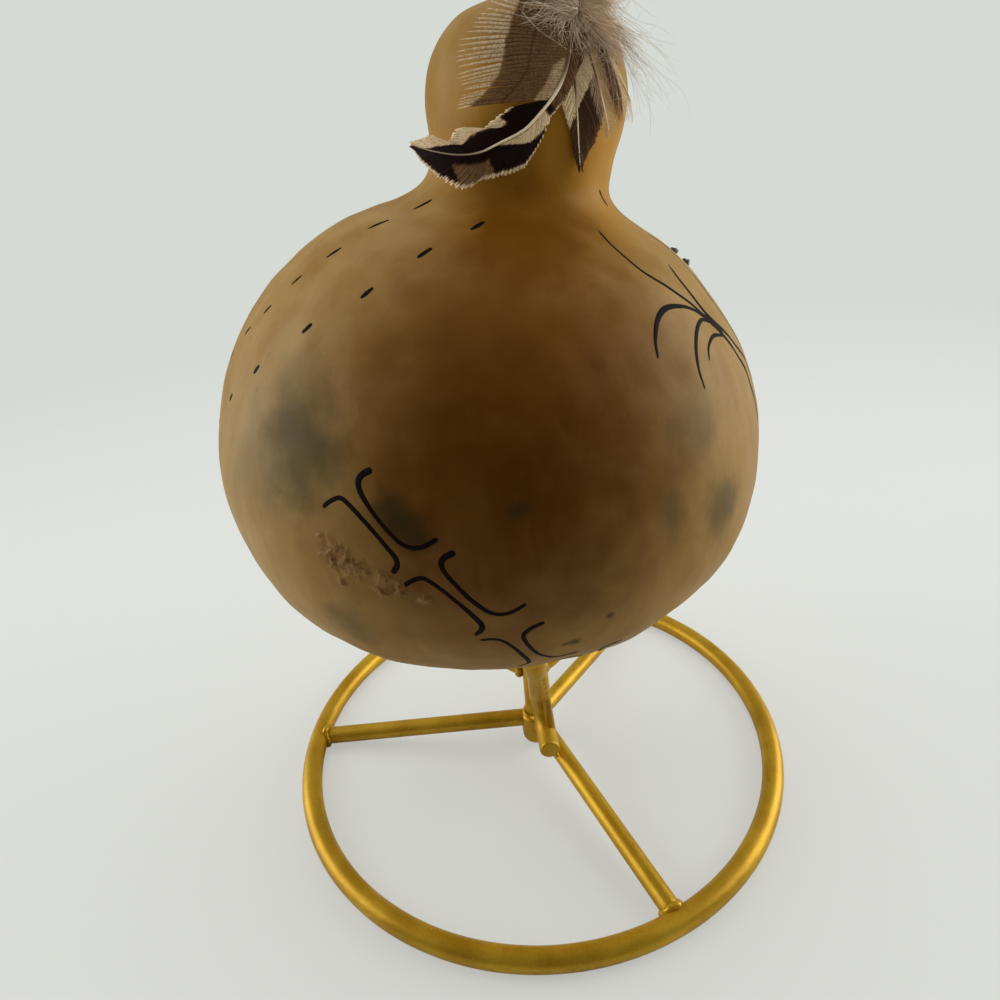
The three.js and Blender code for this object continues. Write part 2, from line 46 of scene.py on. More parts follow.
# The camera looks down at the gourd from in front and a little above its crown. Its place, tilt and
# roll were worked out from the stand's ring, which is a true circle on the ground.
camera_place = Vector((-5.07, -181.2, 190.5)) * mm
camera_tilt = radians(90 - 28.08)
camera_roll = radians(-5.46)
film_width, focal_share = 36, 0.722  # the share is the focal length over the film's width
camera_data = bpy.data.cameras.new("camera")
camera_data.sensor_width = film_width
camera_data.lens = film_width * focal_share
camera_data.clip_start = 0.01
camera = bpy.data.objects.new("camera", camera_data)
camera.matrix_world = (Matrix.Translation(camera_place) @ Matrix.Rotation(camera_tilt, 4, "X")
                       @ Matrix.Rotation(camera_roll, 4, "Z"))
bpy.context.scene.collection.objects.link(camera)
bpy.context.scene.camera = camera
bpy.context.scene.view_settings.view_transform = "Standard"


# The studio: one pale sheet that lies under the object and sweeps up behind it, inside a soft
# white tent that is open, and so dark, at the front. It isn't part of the object.
def grid_faces(rows, columns, close_rows=False, close_columns=False):
    """Quads of a grid of points numbered row by row; a closed direction joins its last line to its first."""
    row = np.arange(rows if close_rows else rows - 1)[:, None]
    column = np.arange(columns if close_columns else columns - 1)[None, :]
    next_row, next_column = (row + 1) % rows, (column + 1) % columns
    corners = (row * columns + column, row * columns + next_column,
               next_row * columns + next_column, next_row * columns + column)
    return np.stack([np.broadcast_to(c, np.broadcast_shapes(row.shape, column.shape)) for c in corners],
                    -1).reshape(-1, 4)


def make_piece(name, points, faces, material, uv=None):
    """A smooth mesh object at the origin from points in metres and faces. A row of uv is two numbers of the
    point's place on the pattern, and may be followed by two more for a second layer called edge."""
    mesh = bpy.data.meshes.new(name)
    whole = [list(map(int, face)) for face in faces]
    mesh.from_pydata(np.asarray(points, float).reshape(-1, 3).tolist(), [], whole)
    mesh.polygons.foreach_set("use_smooth", np.ones(len(mesh.polygons), bool))
    if uv is not None:
        corner = np.zeros(len(mesh.loops), np.int32)
        mesh.loops.foreach_get("vertex_index", corner)
        pairs = np.split(np.asarray(uv, np.float32), uv.shape[1] // 2, 1)
        for layer_name, pair in zip(("pattern", "edge"), pairs):
            mesh.uv_layers.new(name=layer_name).data.foreach_set("uv", pair[corner].ravel())
    mesh.update()
    mesh.materials.append(material)
    piece = bpy.data.objects.new(name, mesh)
    bpy.context.scene.collection.objects.link(piece)
    return piece


class Wire:
    """A shader socket or number in an expression: each operator adds a Math node and gives a new Wire."""

    def __init__(self, tree, value):
        self.tree = tree
        self.value = value

    def put(self, socket):
        if isinstance(self.value, bpy.types.NodeSocket):
            self.tree.links.new(self.value, socket)
        else:
            socket.default_value = self.value

    def maths(self, operation, *others):
        return self.node("ShaderNodeMath", {"operation": operation}, self, *others)

    def node(self, kind, settings, *inputs, out=0, **named):
        """One node of any type: its settings, then its inputs in order, then those given by name."""
        made = self.tree.nodes.new(kind)
        for key, value in settings.items():
            if key == "stops":
                ramp = made.color_ramp
                while len(ramp.elements) < len(value):
                    ramp.elements.new(0.5)
                for element, (place, colour) in zip(ramp.elements, value):
                    element.position = place
                    element.color = (*colour, 1)
            else:
                setattr(made, key, value)
        sockets = list(enumerate(inputs)) + [(key.replace("_", " "), value) for key, value in named.items()]
        for key, value in sockets:
            given = value if isinstance(value, Wire) else Wire(self.tree, value)
            given.put(made.inputs[key])
        return Wire(self.tree, made.outputs[out])

    def __add__(self, other): return self.maths("ADD", other)
    def __radd__(self, other): return self.maths("ADD", other)
    def __sub__(self, other): return self.maths("SUBTRACT", other)
    def __rsub__(self, other): return Wire(self.tree, other).maths("SUBTRACT", self)
    def __mul__(self, other): return self.maths("MULTIPLY", other)
    def __rmul__(self, other): return self.maths("MULTIPLY", other)
    def __truediv__(self, other): return self.maths("DIVIDE", other)
    def __pow__(self, other): return self.maths("POWER", other)

    def clamp(self):
        return self.node("ShaderNodeClamp", {}, self)

    def step(self, low, high):
        """0 below low, 1 above high, and smooth between them."""
        return self.node("ShaderNodeMapRange", {"interpolation_type": "SMOOTHSTEP"}, self, low, high, 0, 1)

    def mix(self, low, high):
        """From colour low at 0 to colour high at 1."""
        made = self.tree.nodes.new("ShaderNodeMix")
        made.data_type = "RGBA"
        self.put(made.inputs[0])
        for index, colour in ((6, low), (7, high)):
            given = colour if isinstance(colour, Wire) else Wire(self.tree, (*colour, 1))
            given.put(made.inputs[index])
        return Wire(self.tree, made.outputs[2])

    def noise(self, scale, detail=3.0, rough=0.5):
        """Cloudy noise from 0 to 1 at this many cells a metre, read at the point that the wire holds."""
        return self.node("ShaderNodeTexNoise", {}, Vector=self, Scale=scale, Detail=detail, Roughness=rough)

    def bump(self, distance, strength=1.0):
        return self.node("ShaderNodeBump", {}, Height=self, Distance=distance, Strength=strength)


def new_material(name, **fixed):
    """An empty material with its shader, whose fixed sockets are set, and the point that it is read at."""
    material = bpy.data.materials.new(name)
    material.use_nodes = True
    tree = material.node_tree
    shader = tree.nodes["Principled BSDF"]
    for key, value in fixed.items():
        shader.inputs[key.replace("_", " ")].default_value = value
    place = Wire(tree, tree.nodes.new("ShaderNodeTexCoord").outputs["Object"])
    return material, shader.inputs, place


def ray_kind(tree, kind):
    """1 for rays of one kind, such as Is Camera Ray, and 0 for the others."""
    return Wire(tree, tree.nodes.new("ShaderNodeLightPath").outputs[kind])


sheet_width, sheet_front, sheet_back, sheet_height, sheet_bend = 6.0, -2.2, 1.1, 3.0, 0.9
bend = np.linspace(0, tau / 4, 24)
sheet_side = np.concatenate([
    [[sheet_front, 0]],
    np.stack([sheet_back + sheet_bend * np.sin(bend), sheet_bend * (1 - np.cos(bend))], 1),
    [[sheet_back + sheet_bend, sheet_height]]])
sheet_across = np.linspace(-sheet_width / 2, sheet_width / 2, 3)
sheet_points = np.stack(np.broadcast_arrays(
    sheet_across[None, :], sheet_side[:, :1], sheet_side[:, 1:]), -1)

# Reflections find the sheet dark in front of the object: painted shade, as the tent is open and unlit
# there. The camera sees it glow a little, less so close to the object, where its shadow falls.
paper, paper_inputs, paper_place = new_material("paper", Roughness=0.9, Specular_IOR_Level=0.1)
paper_tree = paper.node_tree
white_paper, shaded_paper = (0.68, 0.69, 0.665), (0.03, 0.03, 0.028)
near_glow, far_glow = (0.72, 0.73, 0.69), (0.665, 0.70, 0.66)
toward_viewer = paper_place.node("ShaderNodeSeparateXYZ", {}, paper_place, out=1) * -1
unlit_front = toward_viewer.step(0.10, 0.30) * ray_kind(paper_tree, "Is Glossy Ray")
unlit_front.mix(white_paper, shaded_paper).put(paper_inputs["Base Color"])
far_off = paper_place.node("ShaderNodeVectorMath", {"operation": "LENGTH"}, paper_place, out=1)
far_off = far_off.step(0.10, 0.70)
glow_colour = far_off.mix(near_glow, far_glow)
glow = glow_colour.node("ShaderNodeEmission", {}, glow_colour, 1.0)
flat_paper = Wire(paper_tree, paper_tree.nodes["Principled BSDF"].outputs[0])
share_glow = (far_off * 0.42 + 0.58) * ray_kind(paper_tree, "Is Camera Ray")
share_glow.node("ShaderNodeMixShader", {}, share_glow, flat_paper, glow).put(
    paper_tree.nodes["Material Output"].inputs["Surface"])
backdrop = make_piece("backdrop", sheet_points, grid_faces(len(sheet_side), len(sheet_across)), paper)

tent = bpy.data.worlds.new("tent")
bpy.context.scene.world = tent
tent.use_nodes = True
tent_tree = tent.node_tree
tent_way = Wire(tent_tree, tent_tree.nodes.new("ShaderNodeTexCoord").outputs["Generated"])
tent_opening = (0.0, -0.83, 0.56)
at_opening = tent_way.node("ShaderNodeVectorMath", {"operation": "DOT_PRODUCT"}, tent_way, tent_opening, out=1)
at_opening = at_opening.step(0.0, 0.7)
seen, mirrored = (ray_kind(tent_tree, kind) for kind in ("Is Camera Ray", "Is Glossy Ray"))
lit = (1 - mirrored) * (1 - 0.55 * at_opening) * 0.62 + mirrored * (1 - at_opening * 0.97) * 0.30
strength = seen * 0.74 + (1 - seen) * lit
strength.put(tent_tree.nodes["Background"].inputs["Strength"])
tent_tree.nodes["Background"].inputs["Color"].default_value = (0.97, 1.0, 0.97, 1)


def add_panel(name, place, target, size, power):
    """A soft square lamp that faces its target."""
    data = bpy.data.lights.new(name, "AREA")
    data.size = size
    data.energy = power
    lamp = bpy.data.objects.new(name, data)
    lamp.location = place
    lamp.rotation_euler = (Vector(target) - Vector(place)).to_track_quat("-Z", "Y").to_euler()
    bpy.context.scene.collection.objects.link(lamp)
    return lamp


lamp_target = (0, 0, 110 * mm)
add_panel("panel_left", (-0.8, 0.10, 0.36), lamp_target, 0.7, 4.9)
add_panel("panel_right", (0.8, 0.10, 0.36), lamp_target, 0.7, 5.9)
add_panel("panel_top", (0.0, 0.45, 0.95), lamp_target, 0.9, 5.0).visible_glossy = False


# The base ring: a hoop of quarter-inch mild-steel rod, its ends butted and welded, sprayed satin
# gold. It lies flat on the ground and carries everything else.
def gold_paint(name, grain, tone=1.0):
    """Sprayed gold: flakes and thin spots in the colour, a satin gloss and the orange peel of a spray can."""
    material, inputs, place = new_material(name, Metallic=0.5, Specular_IOR_Level=0.3)
    cloud = place.noise(70, 3)
    speck = place.noise(1400, 2, 0.6)
    dust = place.noise(260, 3, 0.65).step(0.62, 0.76)
    dark, bright = (0.42 * tone, 0.225 * tone, 0.007 * tone), (0.61 * tone, 0.365 * tone, 0.022 * tone)
    colour = (cloud * 0.75 + speck * 0.25).step(0.3, 0.7).mix(dark, bright)
    (dust * 0.3).mix(colour, (0.20, 0.10, 0.006)).put(inputs["Base Color"])
    (0.33 + cloud * 0.12 + dust * 0.15).put(inputs["Roughness"])
    peel = place.noise(620, 2, 0.5) * 0.6 + place.noise(grain, 3, 0.6)
    peel.bump(0.00016, 0.4).put(inputs["Normal"])
    return material


def to_unit(rows):
    """The same directions, each of length 1."""
    return rows / np.linalg.norm(rows, axis=-1, keepdims=True)


def tube(path, radius, side, around=32, closed=False):
    """A circle carried along a path, square to it: centre + radius * (cos a * up + sin a * across), where
    across is the path's direction crossed with the side vector, which the path never runs along."""
    if closed:
        ahead = np.roll(path, -1, 0) - np.roll(path, 1, 0)
    else:
        ahead = np.gradient(path, axis=0)
    ahead = to_unit(ahead)
    across = to_unit(np.cross(ahead, side))
    up = np.cross(across, ahead)
    turn = np.linspace(0, tau, around, endpoint=False)[None, :, None]
    size = np.broadcast_to(radius, len(path))[:, None, None]
    return path[:, None] + size * (np.cos(turn) * up[:, None] + np.sin(turn) * across[:, None])


def closed_tube(points):
    """Points and faces of a grid of rings, each end closed by one flat face, all facing outward: the faces
    are turned over where the volume that they sum to, (a x b) . c over each corner, is negative."""
    rows, columns = points.shape[:2]
    flat = points.reshape(-1, 3)
    quads = grid_faces(rows, columns, close_columns=True)
    a, b, c, d = (flat[quads[:, k]] - flat.mean(0) for k in range(4))
    volume = (np.cross(a, b) * c).sum() + (np.cross(a, c) * d).sum()
    faces = quads.tolist() + [list(range(columns))[::-1], list(range((rows - 1) * columns, rows * columns))]
    return flat, faces if volume > 0 else [face[::-1] for face in faces]


def add_piece(name, points, faces, material, body, slot, node=None, uv=None):
    """A piece that moves with a body and has its material, in place of the node that it stands for; the slot is not
    used.
    """
    piece = make_piece(name, points, faces, material, uv)
    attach(piece, body)
    if node:
        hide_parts(node)


gold = gold_paint("gold_rod", 2600)
ring_radius, ring_rod = 76.2 * mm, 6.35 * mm
ring_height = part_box("base_ring")[1].z / 2
ring_turn = np.linspace(0, tau, 288, endpoint=False)
ring_path = np.stack([ring_radius * np.cos(ring_turn), ring_radius * np.sin(ring_turn),
                      np.full_like(ring_turn, ring_height)], 1)
ring_swell = 1 + 0.006 * np.sin(5 * ring_turn + 1) * np.sin(11 * ring_turn)
ring_points = tube(ring_path, ring_rod / 2 * ring_swell, (0, 0, 1), closed=True)
ring_points[..., 2] = np.maximum(ring_points[..., 2], 0)
add_piece("ring_rod", ring_points, grid_faces(*ring_points.shape[:2], True, True), gold,
          "stand", "gold_rod", "base_ring")


# The three spokes: straight rod, set between the ring and the hub. They rise towards the hub, and
# their cut ends are buried in weld.
def unit(turn):
    """Level direction at this many degrees round from +X."""
    return np.array([cos(radians(turn)), sin(radians(turn)), 0.0])


def rod_stations(count, bevel_share):
    """Shares from 0 to 1 along a rod, with a few close together at each end, where its rim is rounded."""
    rim = bevel_share * np.array([0, 0.1, 0.35, 1])
    return np.concatenate([rim, np.linspace(0, 1, count)[1:-1], 1 - rim[::-1]])


def distances(path):
    """How far each point of a path is from its start, along the path."""
    return np.concatenate([[0], np.cumsum(np.linalg.norm(np.diff(path, axis=0), axis=1))])


def rim_radius(path, radius, rim):
    """The rod's radius at each point of its path: full, but rounded over this far at each end."""
    walked = distances(path)
    end = np.clip(np.minimum(walked, walked[-1] - walked) / rim, 0, 1)
    return radius - rim * (1 - np.sqrt(1 - (1 - end) ** 2))


def add_rod(name, path, thickness, side, node, rim=0.5 * mm):
    """One rod of the stand, in place of the node that it stands for."""
    points, faces = closed_tube(tube(path, rim_radius(path, thickness / 2, rim), side))
    add_piece(name, points, faces, gold, "stand", "gold_rod", node)


spoke_turns = {"left": 174.5, "front": 294, "rear": 54}
spoke_rod, spoke_rise, hub_radius = 5.6 * mm, 6.5 * mm, 4.7 * mm
ring_inside = ring_radius - ring_rod / 2
spoke_inner, spoke_outer = hub_radius - 1.2 * mm, ring_inside + 1.0 * mm


def spoke_point(turn, reach):
    """Point of a spoke's centre line this far from the post's axis."""
    share = (ring_inside - reach) / (ring_inside - hub_radius)
    return unit(turn) * reach + np.array([0, 0, ring_height + spoke_rise * share])


spoke_stations = rod_stations(26, 0.004)[:, None]
for side_name, turn in spoke_turns.items():
    inner, outer = spoke_point(turn, spoke_inner), spoke_point(turn, spoke_outer)
    add_rod(f"spoke_rod_{side_name}", inner * (1 - spoke_stations) + outer * spoke_stations,
            spoke_rod, (0, 0, 1), f"spoke_{side_name}")


# The hub and the centre post: a short round boss that the spokes meet, rounded underneath, with
# the post standing on it.
def turned(profile, around=64):
    """A profile of (radius, height) pairs turned about the Z axis; its ends lie on the axis."""
    turn = np.linspace(0, tau, around, endpoint=False)[None, :]
    radius, height = profile[:, :1], profile[:, 1:]
    return np.stack(np.broadcast_arrays(radius * np.cos(turn), radius * np.sin(turn), height), -1)


def rounded_profile(corners, steps=6):
    """Corners of (radius, height, rounding) as a profile whose corners are cut by a quadratic curve."""
    made = []
    places = np.array([c[:2] for c in corners])
    for i, (radius, height, rounding) in enumerate(corners):
        here = places[i]
        if rounding == 0 or i in (0, len(corners) - 1):
            made.append(here[None])
            continue
        before, after = places[i - 1] - here, places[i + 1] - here
        start, end = here + to_unit(before) * rounding, here + to_unit(after) * rounding
        share = np.linspace(0, 1, steps)[:, None]
        made.append((1 - share) ** 2 * start + 2 * share * (1 - share) * here + share ** 2 * end)
    return np.concatenate(made)


hub_foot, hub_height = 1.0 * mm, 11.2 * mm
hub_top = hub_foot + hub_height
tiny = 0.02 * mm
hub_profile = rounded_profile([(tiny, hub_foot, 0), (hub_radius, hub_foot, 2.6 * mm),
                               (hub_radius, hub_top, 1.2 * mm), (tiny, hub_top, 0)])
add_piece("hub_boss", *closed_tube(turned(hub_profile)), gold, "stand", "gold_rod", "hub")

up = np.array([0.0, 0.0, 1.0])
post_low, post_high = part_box("centre_post")
post_stations = rod_stations(20, 0.01)[:, None]
post_path = up * ((post_low.z - 0.4 * mm) * (1 - post_stations) + post_high.z * post_stations)
add_rod("post_rod", post_path, ring_rod, (1, 0, 0), "centre_post", rim=0.8 * mm)


# The seat ring and the three arms that carry it. The front arm comes down from the seat, runs
# along the post and turns forward over the front spoke; the others rise from the post.
def smooth_path(points, count):
    """Centripetal Catmull-Rom curve through the points, resampled at equal steps of length."""
    points = np.asarray(points, float)
    whole = np.concatenate([[2 * points[0] - points[1]], points, [2 * points[-1] - points[-2]]])
    p0, p1, p2, p3 = whole[:-3], whole[1:-2], whole[2:-1], whole[3:]

    def spacing(a, b):
        return np.sqrt(np.linalg.norm(b - a, axis=-1))[:, None, None]
    t1, t2, t3 = spacing(p0, p1), spacing(p1, p2), spacing(p2, p3)
    t2, t3 = t1 + t2, t1 + t2 + t3
    t = t1 + (t2 - t1) * np.linspace(0, 1, 40, endpoint=False)[None, :, None]
    a, b, c, d = (p[:, None, :] for p in (p0, p1, p2, p3))
    ab = (t1 - t) / t1 * a + t / t1 * b
    bc = (t2 - t) / (t2 - t1) * b + (t - t1) / (t2 - t1) * c
    cd = (t3 - t) / (t3 - t2) * c + (t - t2) / (t3 - t2) * d
    abc = (t2 - t) / t2 * ab + t / t2 * bc
    bcd = (t3 - t) / (t3 - t1) * bc + (t - t1) / (t3 - t1) * cd
    fine = ((t2 - t) / (t2 - t1) * abc + (t - t1) / (t2 - t1) * bcd).reshape(-1, points.shape[1])
    fine = np.concatenate([fine, points[-1:]])
    walked = distances(fine)
    wanted = np.linspace(0, walked[-1], count) if np.isscalar(count) else count * walked[-1]
    return np.stack([np.interp(wanted, walked, fine[:, k]) for k in range(points.shape[1])], 1)


seat_radius, seat_rod = 24 * mm, 5.6 * mm
seat_low, seat_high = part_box("seat_ring")
seat_height = (seat_low.z + seat_high.z) / 2
seat_tilt = (seat_high.z - seat_low.z - seat_rod) / (2 * seat_radius)
seat_turn = np.linspace(0, tau, 160, endpoint=False)
seat_path = np.stack([seat_radius * np.cos(seat_turn), seat_radius * np.sin(seat_turn),
                      seat_height + seat_tilt * seat_radius * np.cos(seat_turn)], 1)
seat_points = tube(seat_path, seat_rod / 2 - 0.03 * mm, (0, 0, 1), closed=True)
add_piece("seat_rod", seat_points, grid_faces(*seat_points.shape[:2], True, True), gold,
          "stand", "gold_rod", "seat_ring")

clearance, slack = 0.3 * mm, 0.1 * mm
arm_rod, arm_elbow, foot_reach, foot_aside = 6.35 * mm, 5.4 * mm, 19.7 * mm, 3.1 * mm
foot_height = spoke_point(spoke_turns["front"], foot_reach)[2] + (spoke_rod + arm_rod) / 2 + clearance + slack
beside_post = (ring_rod + arm_rod) / 2 + clearance + slack
under_seat = seat_rod / 2 + clearance + slack
arm_top = seat_height - under_seat
arm_route = np.array([
    [0, seat_radius, arm_top],
    [0.13, seat_radius - 0.2 * arm_elbow, arm_top - 0.85 * arm_elbow],
    [0.32, seat_radius - 1.1 * arm_elbow, arm_top - 2.2 * arm_elbow],
    [0.45, beside_post + arm_elbow, foot_height + 3.4 * arm_elbow],
    [0.55, beside_post + 0.15 * arm_elbow, foot_height + 2 * arm_elbow],
    [0.68, beside_post + 0.07 * arm_elbow, foot_height + arm_elbow],
    [0.84, beside_post + 0.8 * arm_elbow, foot_height + 0.17 * arm_elbow],
    [0.94, foot_reach - 0.65 * arm_elbow, foot_height],
    [1, foot_reach, foot_height]]) * [foot_aside, -1, 1]
add_rod("arm_rod_front", smooth_path(arm_route, rod_stations(80, 0.01)), arm_rod,
        (1, 0, 0), "cradle_arm_front")

strut_turns, strut_root, strut_elbow = {"left": 150, "right": 30}, 18.7 * mm, 9 * mm
strut_height = hub_top + strut_root
for side_name, turn in strut_turns.items():
    start = ring_rod / 2 + clearance
    top = seat_height + seat_tilt * seat_radius * cos(radians(turn)) - under_seat
    route = [(start - 0.6 * mm, strut_height), (start + 0.28 * strut_elbow, strut_height),
             (start + strut_elbow, strut_height + 0.38 * strut_elbow),
             (seat_radius - 0.36 * strut_elbow, top - strut_elbow),
             (seat_radius, top - 0.33 * strut_elbow), (seat_radius, top)]
    strut = [unit(turn) * reach + up * height for reach, height in route]
    add_rod(f"arm_rod_{side_name}", smooth_path(strut, rod_stations(60, 0.01)), spoke_rod,
            unit(turn + 90), f"cradle_arm_{side_name}")

# The welds: rippled beads of filler run round each joint and left as they cooled, then painted with
# the rest. Below the ring they are ground off, so that it lies flat.
# The welds' gold is the rods' gold made 8% lighter: a painted highlight on the weld lumps.
lit_weld_gold = gold_paint("weld", 1500, 1.08)
off_bead = (0.31, 0.17, 0.93)   # a direction that no bead runs along
ground_off = 0.3 * mm


def run_bead(node, path, thickness, closed=False):
    """A bead along a path, rippled every 1.3 mm and slowly swelling, in the place of its node: its radius is
    thickness / 2 * (0.95 + 0.1 * |sin| of the ripple + 0.24 * sin of the swelling)."""
    length = distances(path)[-1]
    walked = length * np.linspace(0, 1, len(path))
    start = len(node)
    ripple, swelling = np.abs(np.sin(walked / (0.42 * mm) + start)), np.sin(walked / (1.15 * mm) + 2 * start)
    size = thickness / 2 * (0.95 + 0.10 * ripple + 0.24 * swelling)
    if closed:
        stray = np.stack([np.sin(walked / mm * k + start) for k in (1.3, 1.7, 1.1)], 1)
        path = path + thickness * 0.12 * stray
    else:
        end = np.clip(np.minimum(walked, length - walked) / thickness * 1.6, 0.01, 1)
        size = size * np.sqrt(end * (2 - end))
    points = tube(path, size, off_bead, 18, closed)
    faces = grid_faces(*points.shape[:2], True, True)
    if not closed:
        points, faces = closed_tube(points)
    points[..., 2] = np.maximum(points[..., 2], ground_off)
    add_piece(f"{node}_bead", points, faces, lit_weld_gold, "stand", "weld", node)


def circle_round(centre, axis, radius, sag=0.0):
    """Circle of places round an axis through its centre; each place is moved along the axis by sag * its
    height above the centre, so that the circle follows the curve of the rod that it lies on."""
    side = to_unit(np.cross(axis, off_bead))
    turn = np.linspace(0, tau, 72, endpoint=False)[:, None]
    round_it = radius * (np.cos(turn) * side + np.sin(turn) * np.cross(side, axis))
    return centre + round_it - axis * sag * (round_it[:, 2:] / radius) ** 2


for side_name, turn in spoke_turns.items():
    joint = spoke_point(turn, ring_inside - 0.55 * mm)
    run_bead(f"ring_weld_{side_name}", circle_round(joint, unit(turn), spoke_rod / 2 + 0.12 * mm, -1.3 * mm),
             1.7 * mm, True)
run_bead("hub_weld", circle_round(up * (hub_top + 0.35 * mm), up, ring_rod / 2 + 0.35 * mm), 1.5 * mm, True)
for side_name, turn in strut_turns.items():
    joint = unit(turn) * (ring_rod / 2 + 0.75 * mm) + up * strut_height
    run_bead(f"post_weld_{side_name}", circle_round(joint, unit(turn), spoke_rod / 2 + 0.1 * mm),
             1.5 * mm, True)
seat_joints = {"front": (270, arm_rod), "left": (150, spoke_rod), "right": (30, spoke_rod)}
for side_name, (turn, rod) in seat_joints.items():
    joint = unit(turn) * seat_radius
    joint = joint + up * (seat_height + seat_tilt * joint[0] - seat_rod / 2 - 0.2 * mm)
    run_bead(f"seat_weld_{side_name}", circle_round(joint, up, rod / 2 - 0.1 * mm), 1.8 * mm, True)
arm_line = smooth_path(arm_route, 200)
over_foot = arm_line[:, 2] - foot_height
beside = arm_line[(over_foot > 1.05 * arm_elbow) & (over_foot < 2.1 * arm_elbow)]
run_bead("post_weld_front", beside + np.array([-0.34 * ring_rod, 0.47 * arm_rod, 0]), 2.3 * mm)
over_spoke = arm_line[arm_line[:, 1] < -foot_reach + arm_elbow * 1.4]
run_bead("foot_weld", over_spoke + np.array([0.30 * arm_rod, 0, -0.47 * arm_rod]), 2.3 * mm)

# The gourd's rind: a dried bottle gourd, scraped, polished and varnished. Its skin runs from amber
# to pale tan, with grey mould stains, a few bruises and one rough scab low on the front. Down the
# side that faces the camera it is darker amber, partly its own colour and partly painted shade.
belly_radius, belly_depth, belly_fullness = 69.1 * mm, 53.8 * mm, 1.95
shoulder_rise, shoulder_fullness, shoulder_end = 65.1 * mm, 2.09, 64
waist_radius, waist_height = 20.8 * mm, 68.3 * mm
shoulder_handle, waist_handle = 8.5 * mm, 3.7 * mm
crown_radius, crown_height, crown_rise, crown_fullness = 22.2 * mm, 82.4 * mm, 19.9 * mm, 2.15
crown_top = crown_height + crown_rise
base_drift, rind, stem_radius = -12.6 * mm, 4.2 * mm, 3.4 * mm
lean = radians(10.6)
gourd_place = np.array([-6.1, 0, 111.1]) * mm


def oval_arc(width, rise, fullness, start, end, count, base=0.0):
    """Superellipse arc of (half width, height): width * cos(a)^(2/f), rise * sin(a)^(2/f)."""
    turn = np.radians(np.linspace(start, end, count))
    return np.stack([width * np.maximum(np.cos(turn), 0) ** (2 / fullness),
                     base + rise * np.abs(np.sin(turn)) ** (2 / fullness)], 1)


def bezier(a, b, c, d, count):
    """Cubic Bezier curve from a to d, led by b and c."""
    t = np.linspace(0, 1, count)[:, None]
    return (1 - t) ** 3 * a + 3 * t * (1 - t) ** 2 * b + 3 * t * t * (1 - t) * c + t ** 3 * d


def gourd_outline(inset):
    """Half width and height of the gourd from its base to the top of its crown, this far inside the skin."""
    base = oval_arc(belly_radius - inset, inset - belly_depth, belly_fullness, 90, 0, 200)
    shoulder = oval_arc(belly_radius - inset, shoulder_rise - inset, shoulder_fullness, 0, shoulder_end, 160)
    leaving = to_unit(shoulder[-1] - shoulder[-2]) * shoulder_handle
    waist = np.array([waist_radius - inset, waist_height])
    crown = np.array([crown_radius - inset, crown_height])
    lift = np.array([0, (crown_height - waist_height) / 2])
    neck = bezier(shoulder[-1], shoulder[-1] + leaving, waist - [0, waist_handle], waist, 60)
    rise = bezier(waist, waist + lift, crown - lift, crown, 40)
    dome = oval_arc(crown_radius - inset, crown_rise - inset, crown_fullness, 0, 90, 120, crown_height)
    return np.concatenate([base, shoulder[1:], neck[1:], rise[1:], dome[1:]])


outline = gourd_outline(0)


def skin_radius(height):
    """The gourd's half width at a height."""
    return np.interp(height, outline[:, 1], outline[:, 0])


def to_world(local):
    """A place in the gourd's own upright frame, leaned over and set on its seat."""
    x, y, z = np.moveaxis(local, -1, 0)
    return np.stack([x * cos(lean) + z * sin(lean), y, z * cos(lean) - x * sin(lean)], -1) + gourd_place


def from_axis(turn, radius, height):
    """Place at an angle round the gourd's axis; below its widest level the gourd is drawn to one side."""
    drift = base_drift * (np.minimum(height, 0) / belly_depth) ** 2
    return np.stack(np.broadcast_arrays(radius * np.cos(turn) + drift, radius * np.sin(turn), height), -1)


def evenly(profile, step):
    """The profile resampled at about equal steps of its length."""
    walked = distances(profile)
    wanted = np.linspace(0, walked[-1], int(round(walked[-1] / step)) + 1)
    return np.stack([np.interp(wanted, walked, profile[:, k]) for k in (0, 1)], 1)


def waves(points, size, count, seed):
    """Smooth random field over points: the mean of sine waves of about this wavelength."""
    rng = np.random.default_rng(seed)
    ways = rng.normal(size=(count, 3))
    ways *= tau / size / np.linalg.norm(ways, axis=1, keepdims=True) * rng.uniform(0.7, 1.4, (count, 1))
    return np.sin(points @ ways.T + rng.uniform(0, tau, count)).sum(-1) / np.sqrt(count)


def skin_depth(places):
    """How far the skin's own lumps lie out at places on it."""
    return 0.28 * mm * waves(places, 34 * mm, 9, 3) + 0.07 * mm * waves(places, 9 * mm, 12, 5) - 0.15 * mm


def nearness(turn, height, spots):
    """1 at the middle of any of the spots (degrees, height in mm, reach in mm), falling off as a bell."""
    total = 0
    for degrees, level, reach in spots:
        apart = np.angle(np.exp(1j * (turn - radians(degrees)))) * skin_radius(level * mm)
        total = np.maximum(total, np.exp(-(apart ** 2 + (height - level * mm) ** 2) / (reach * mm) ** 2))
    return total


# Each spot is (degrees round the gourd, height in mm, reach in mm).
scab_spots = [(-121, 2.5, 1.2), (-118.5, 0.6, 3.0), (-115.3, -0.6, 2.5), (-112.3, -1.5, 1.0),
              (-109.5, -3.2, 2.3), (-107, -3.6, 1.6), (-102.5, -4.8, 1.3), (-117, -5.5, 0.8)]
hole = stem_radius + clearance
keep = (outline[:, 0] > hole) | (outline[:, 1] < crown_height)
outer = evenly(outline[keep], 0.85 * mm)
outer[0, 0] = tiny
lining = gourd_outline(rind)
lining = evenly(lining[(lining[:, 0] > hole) | (lining[:, 1] < crown_height)], 6 * mm)[::-1]
lining[-1, 0] = tiny
profile = np.concatenate([outer, [[hole, outer[-1, 1] - 0.3 * mm]], lining])
skin_turn = np.linspace(0, tau, 320, endpoint=False)[None, :]
skin_height = profile[:, 1:]
local = from_axis(skin_turn, profile[:, :1], skin_height)
slope = np.gradient(profile, axis=0)
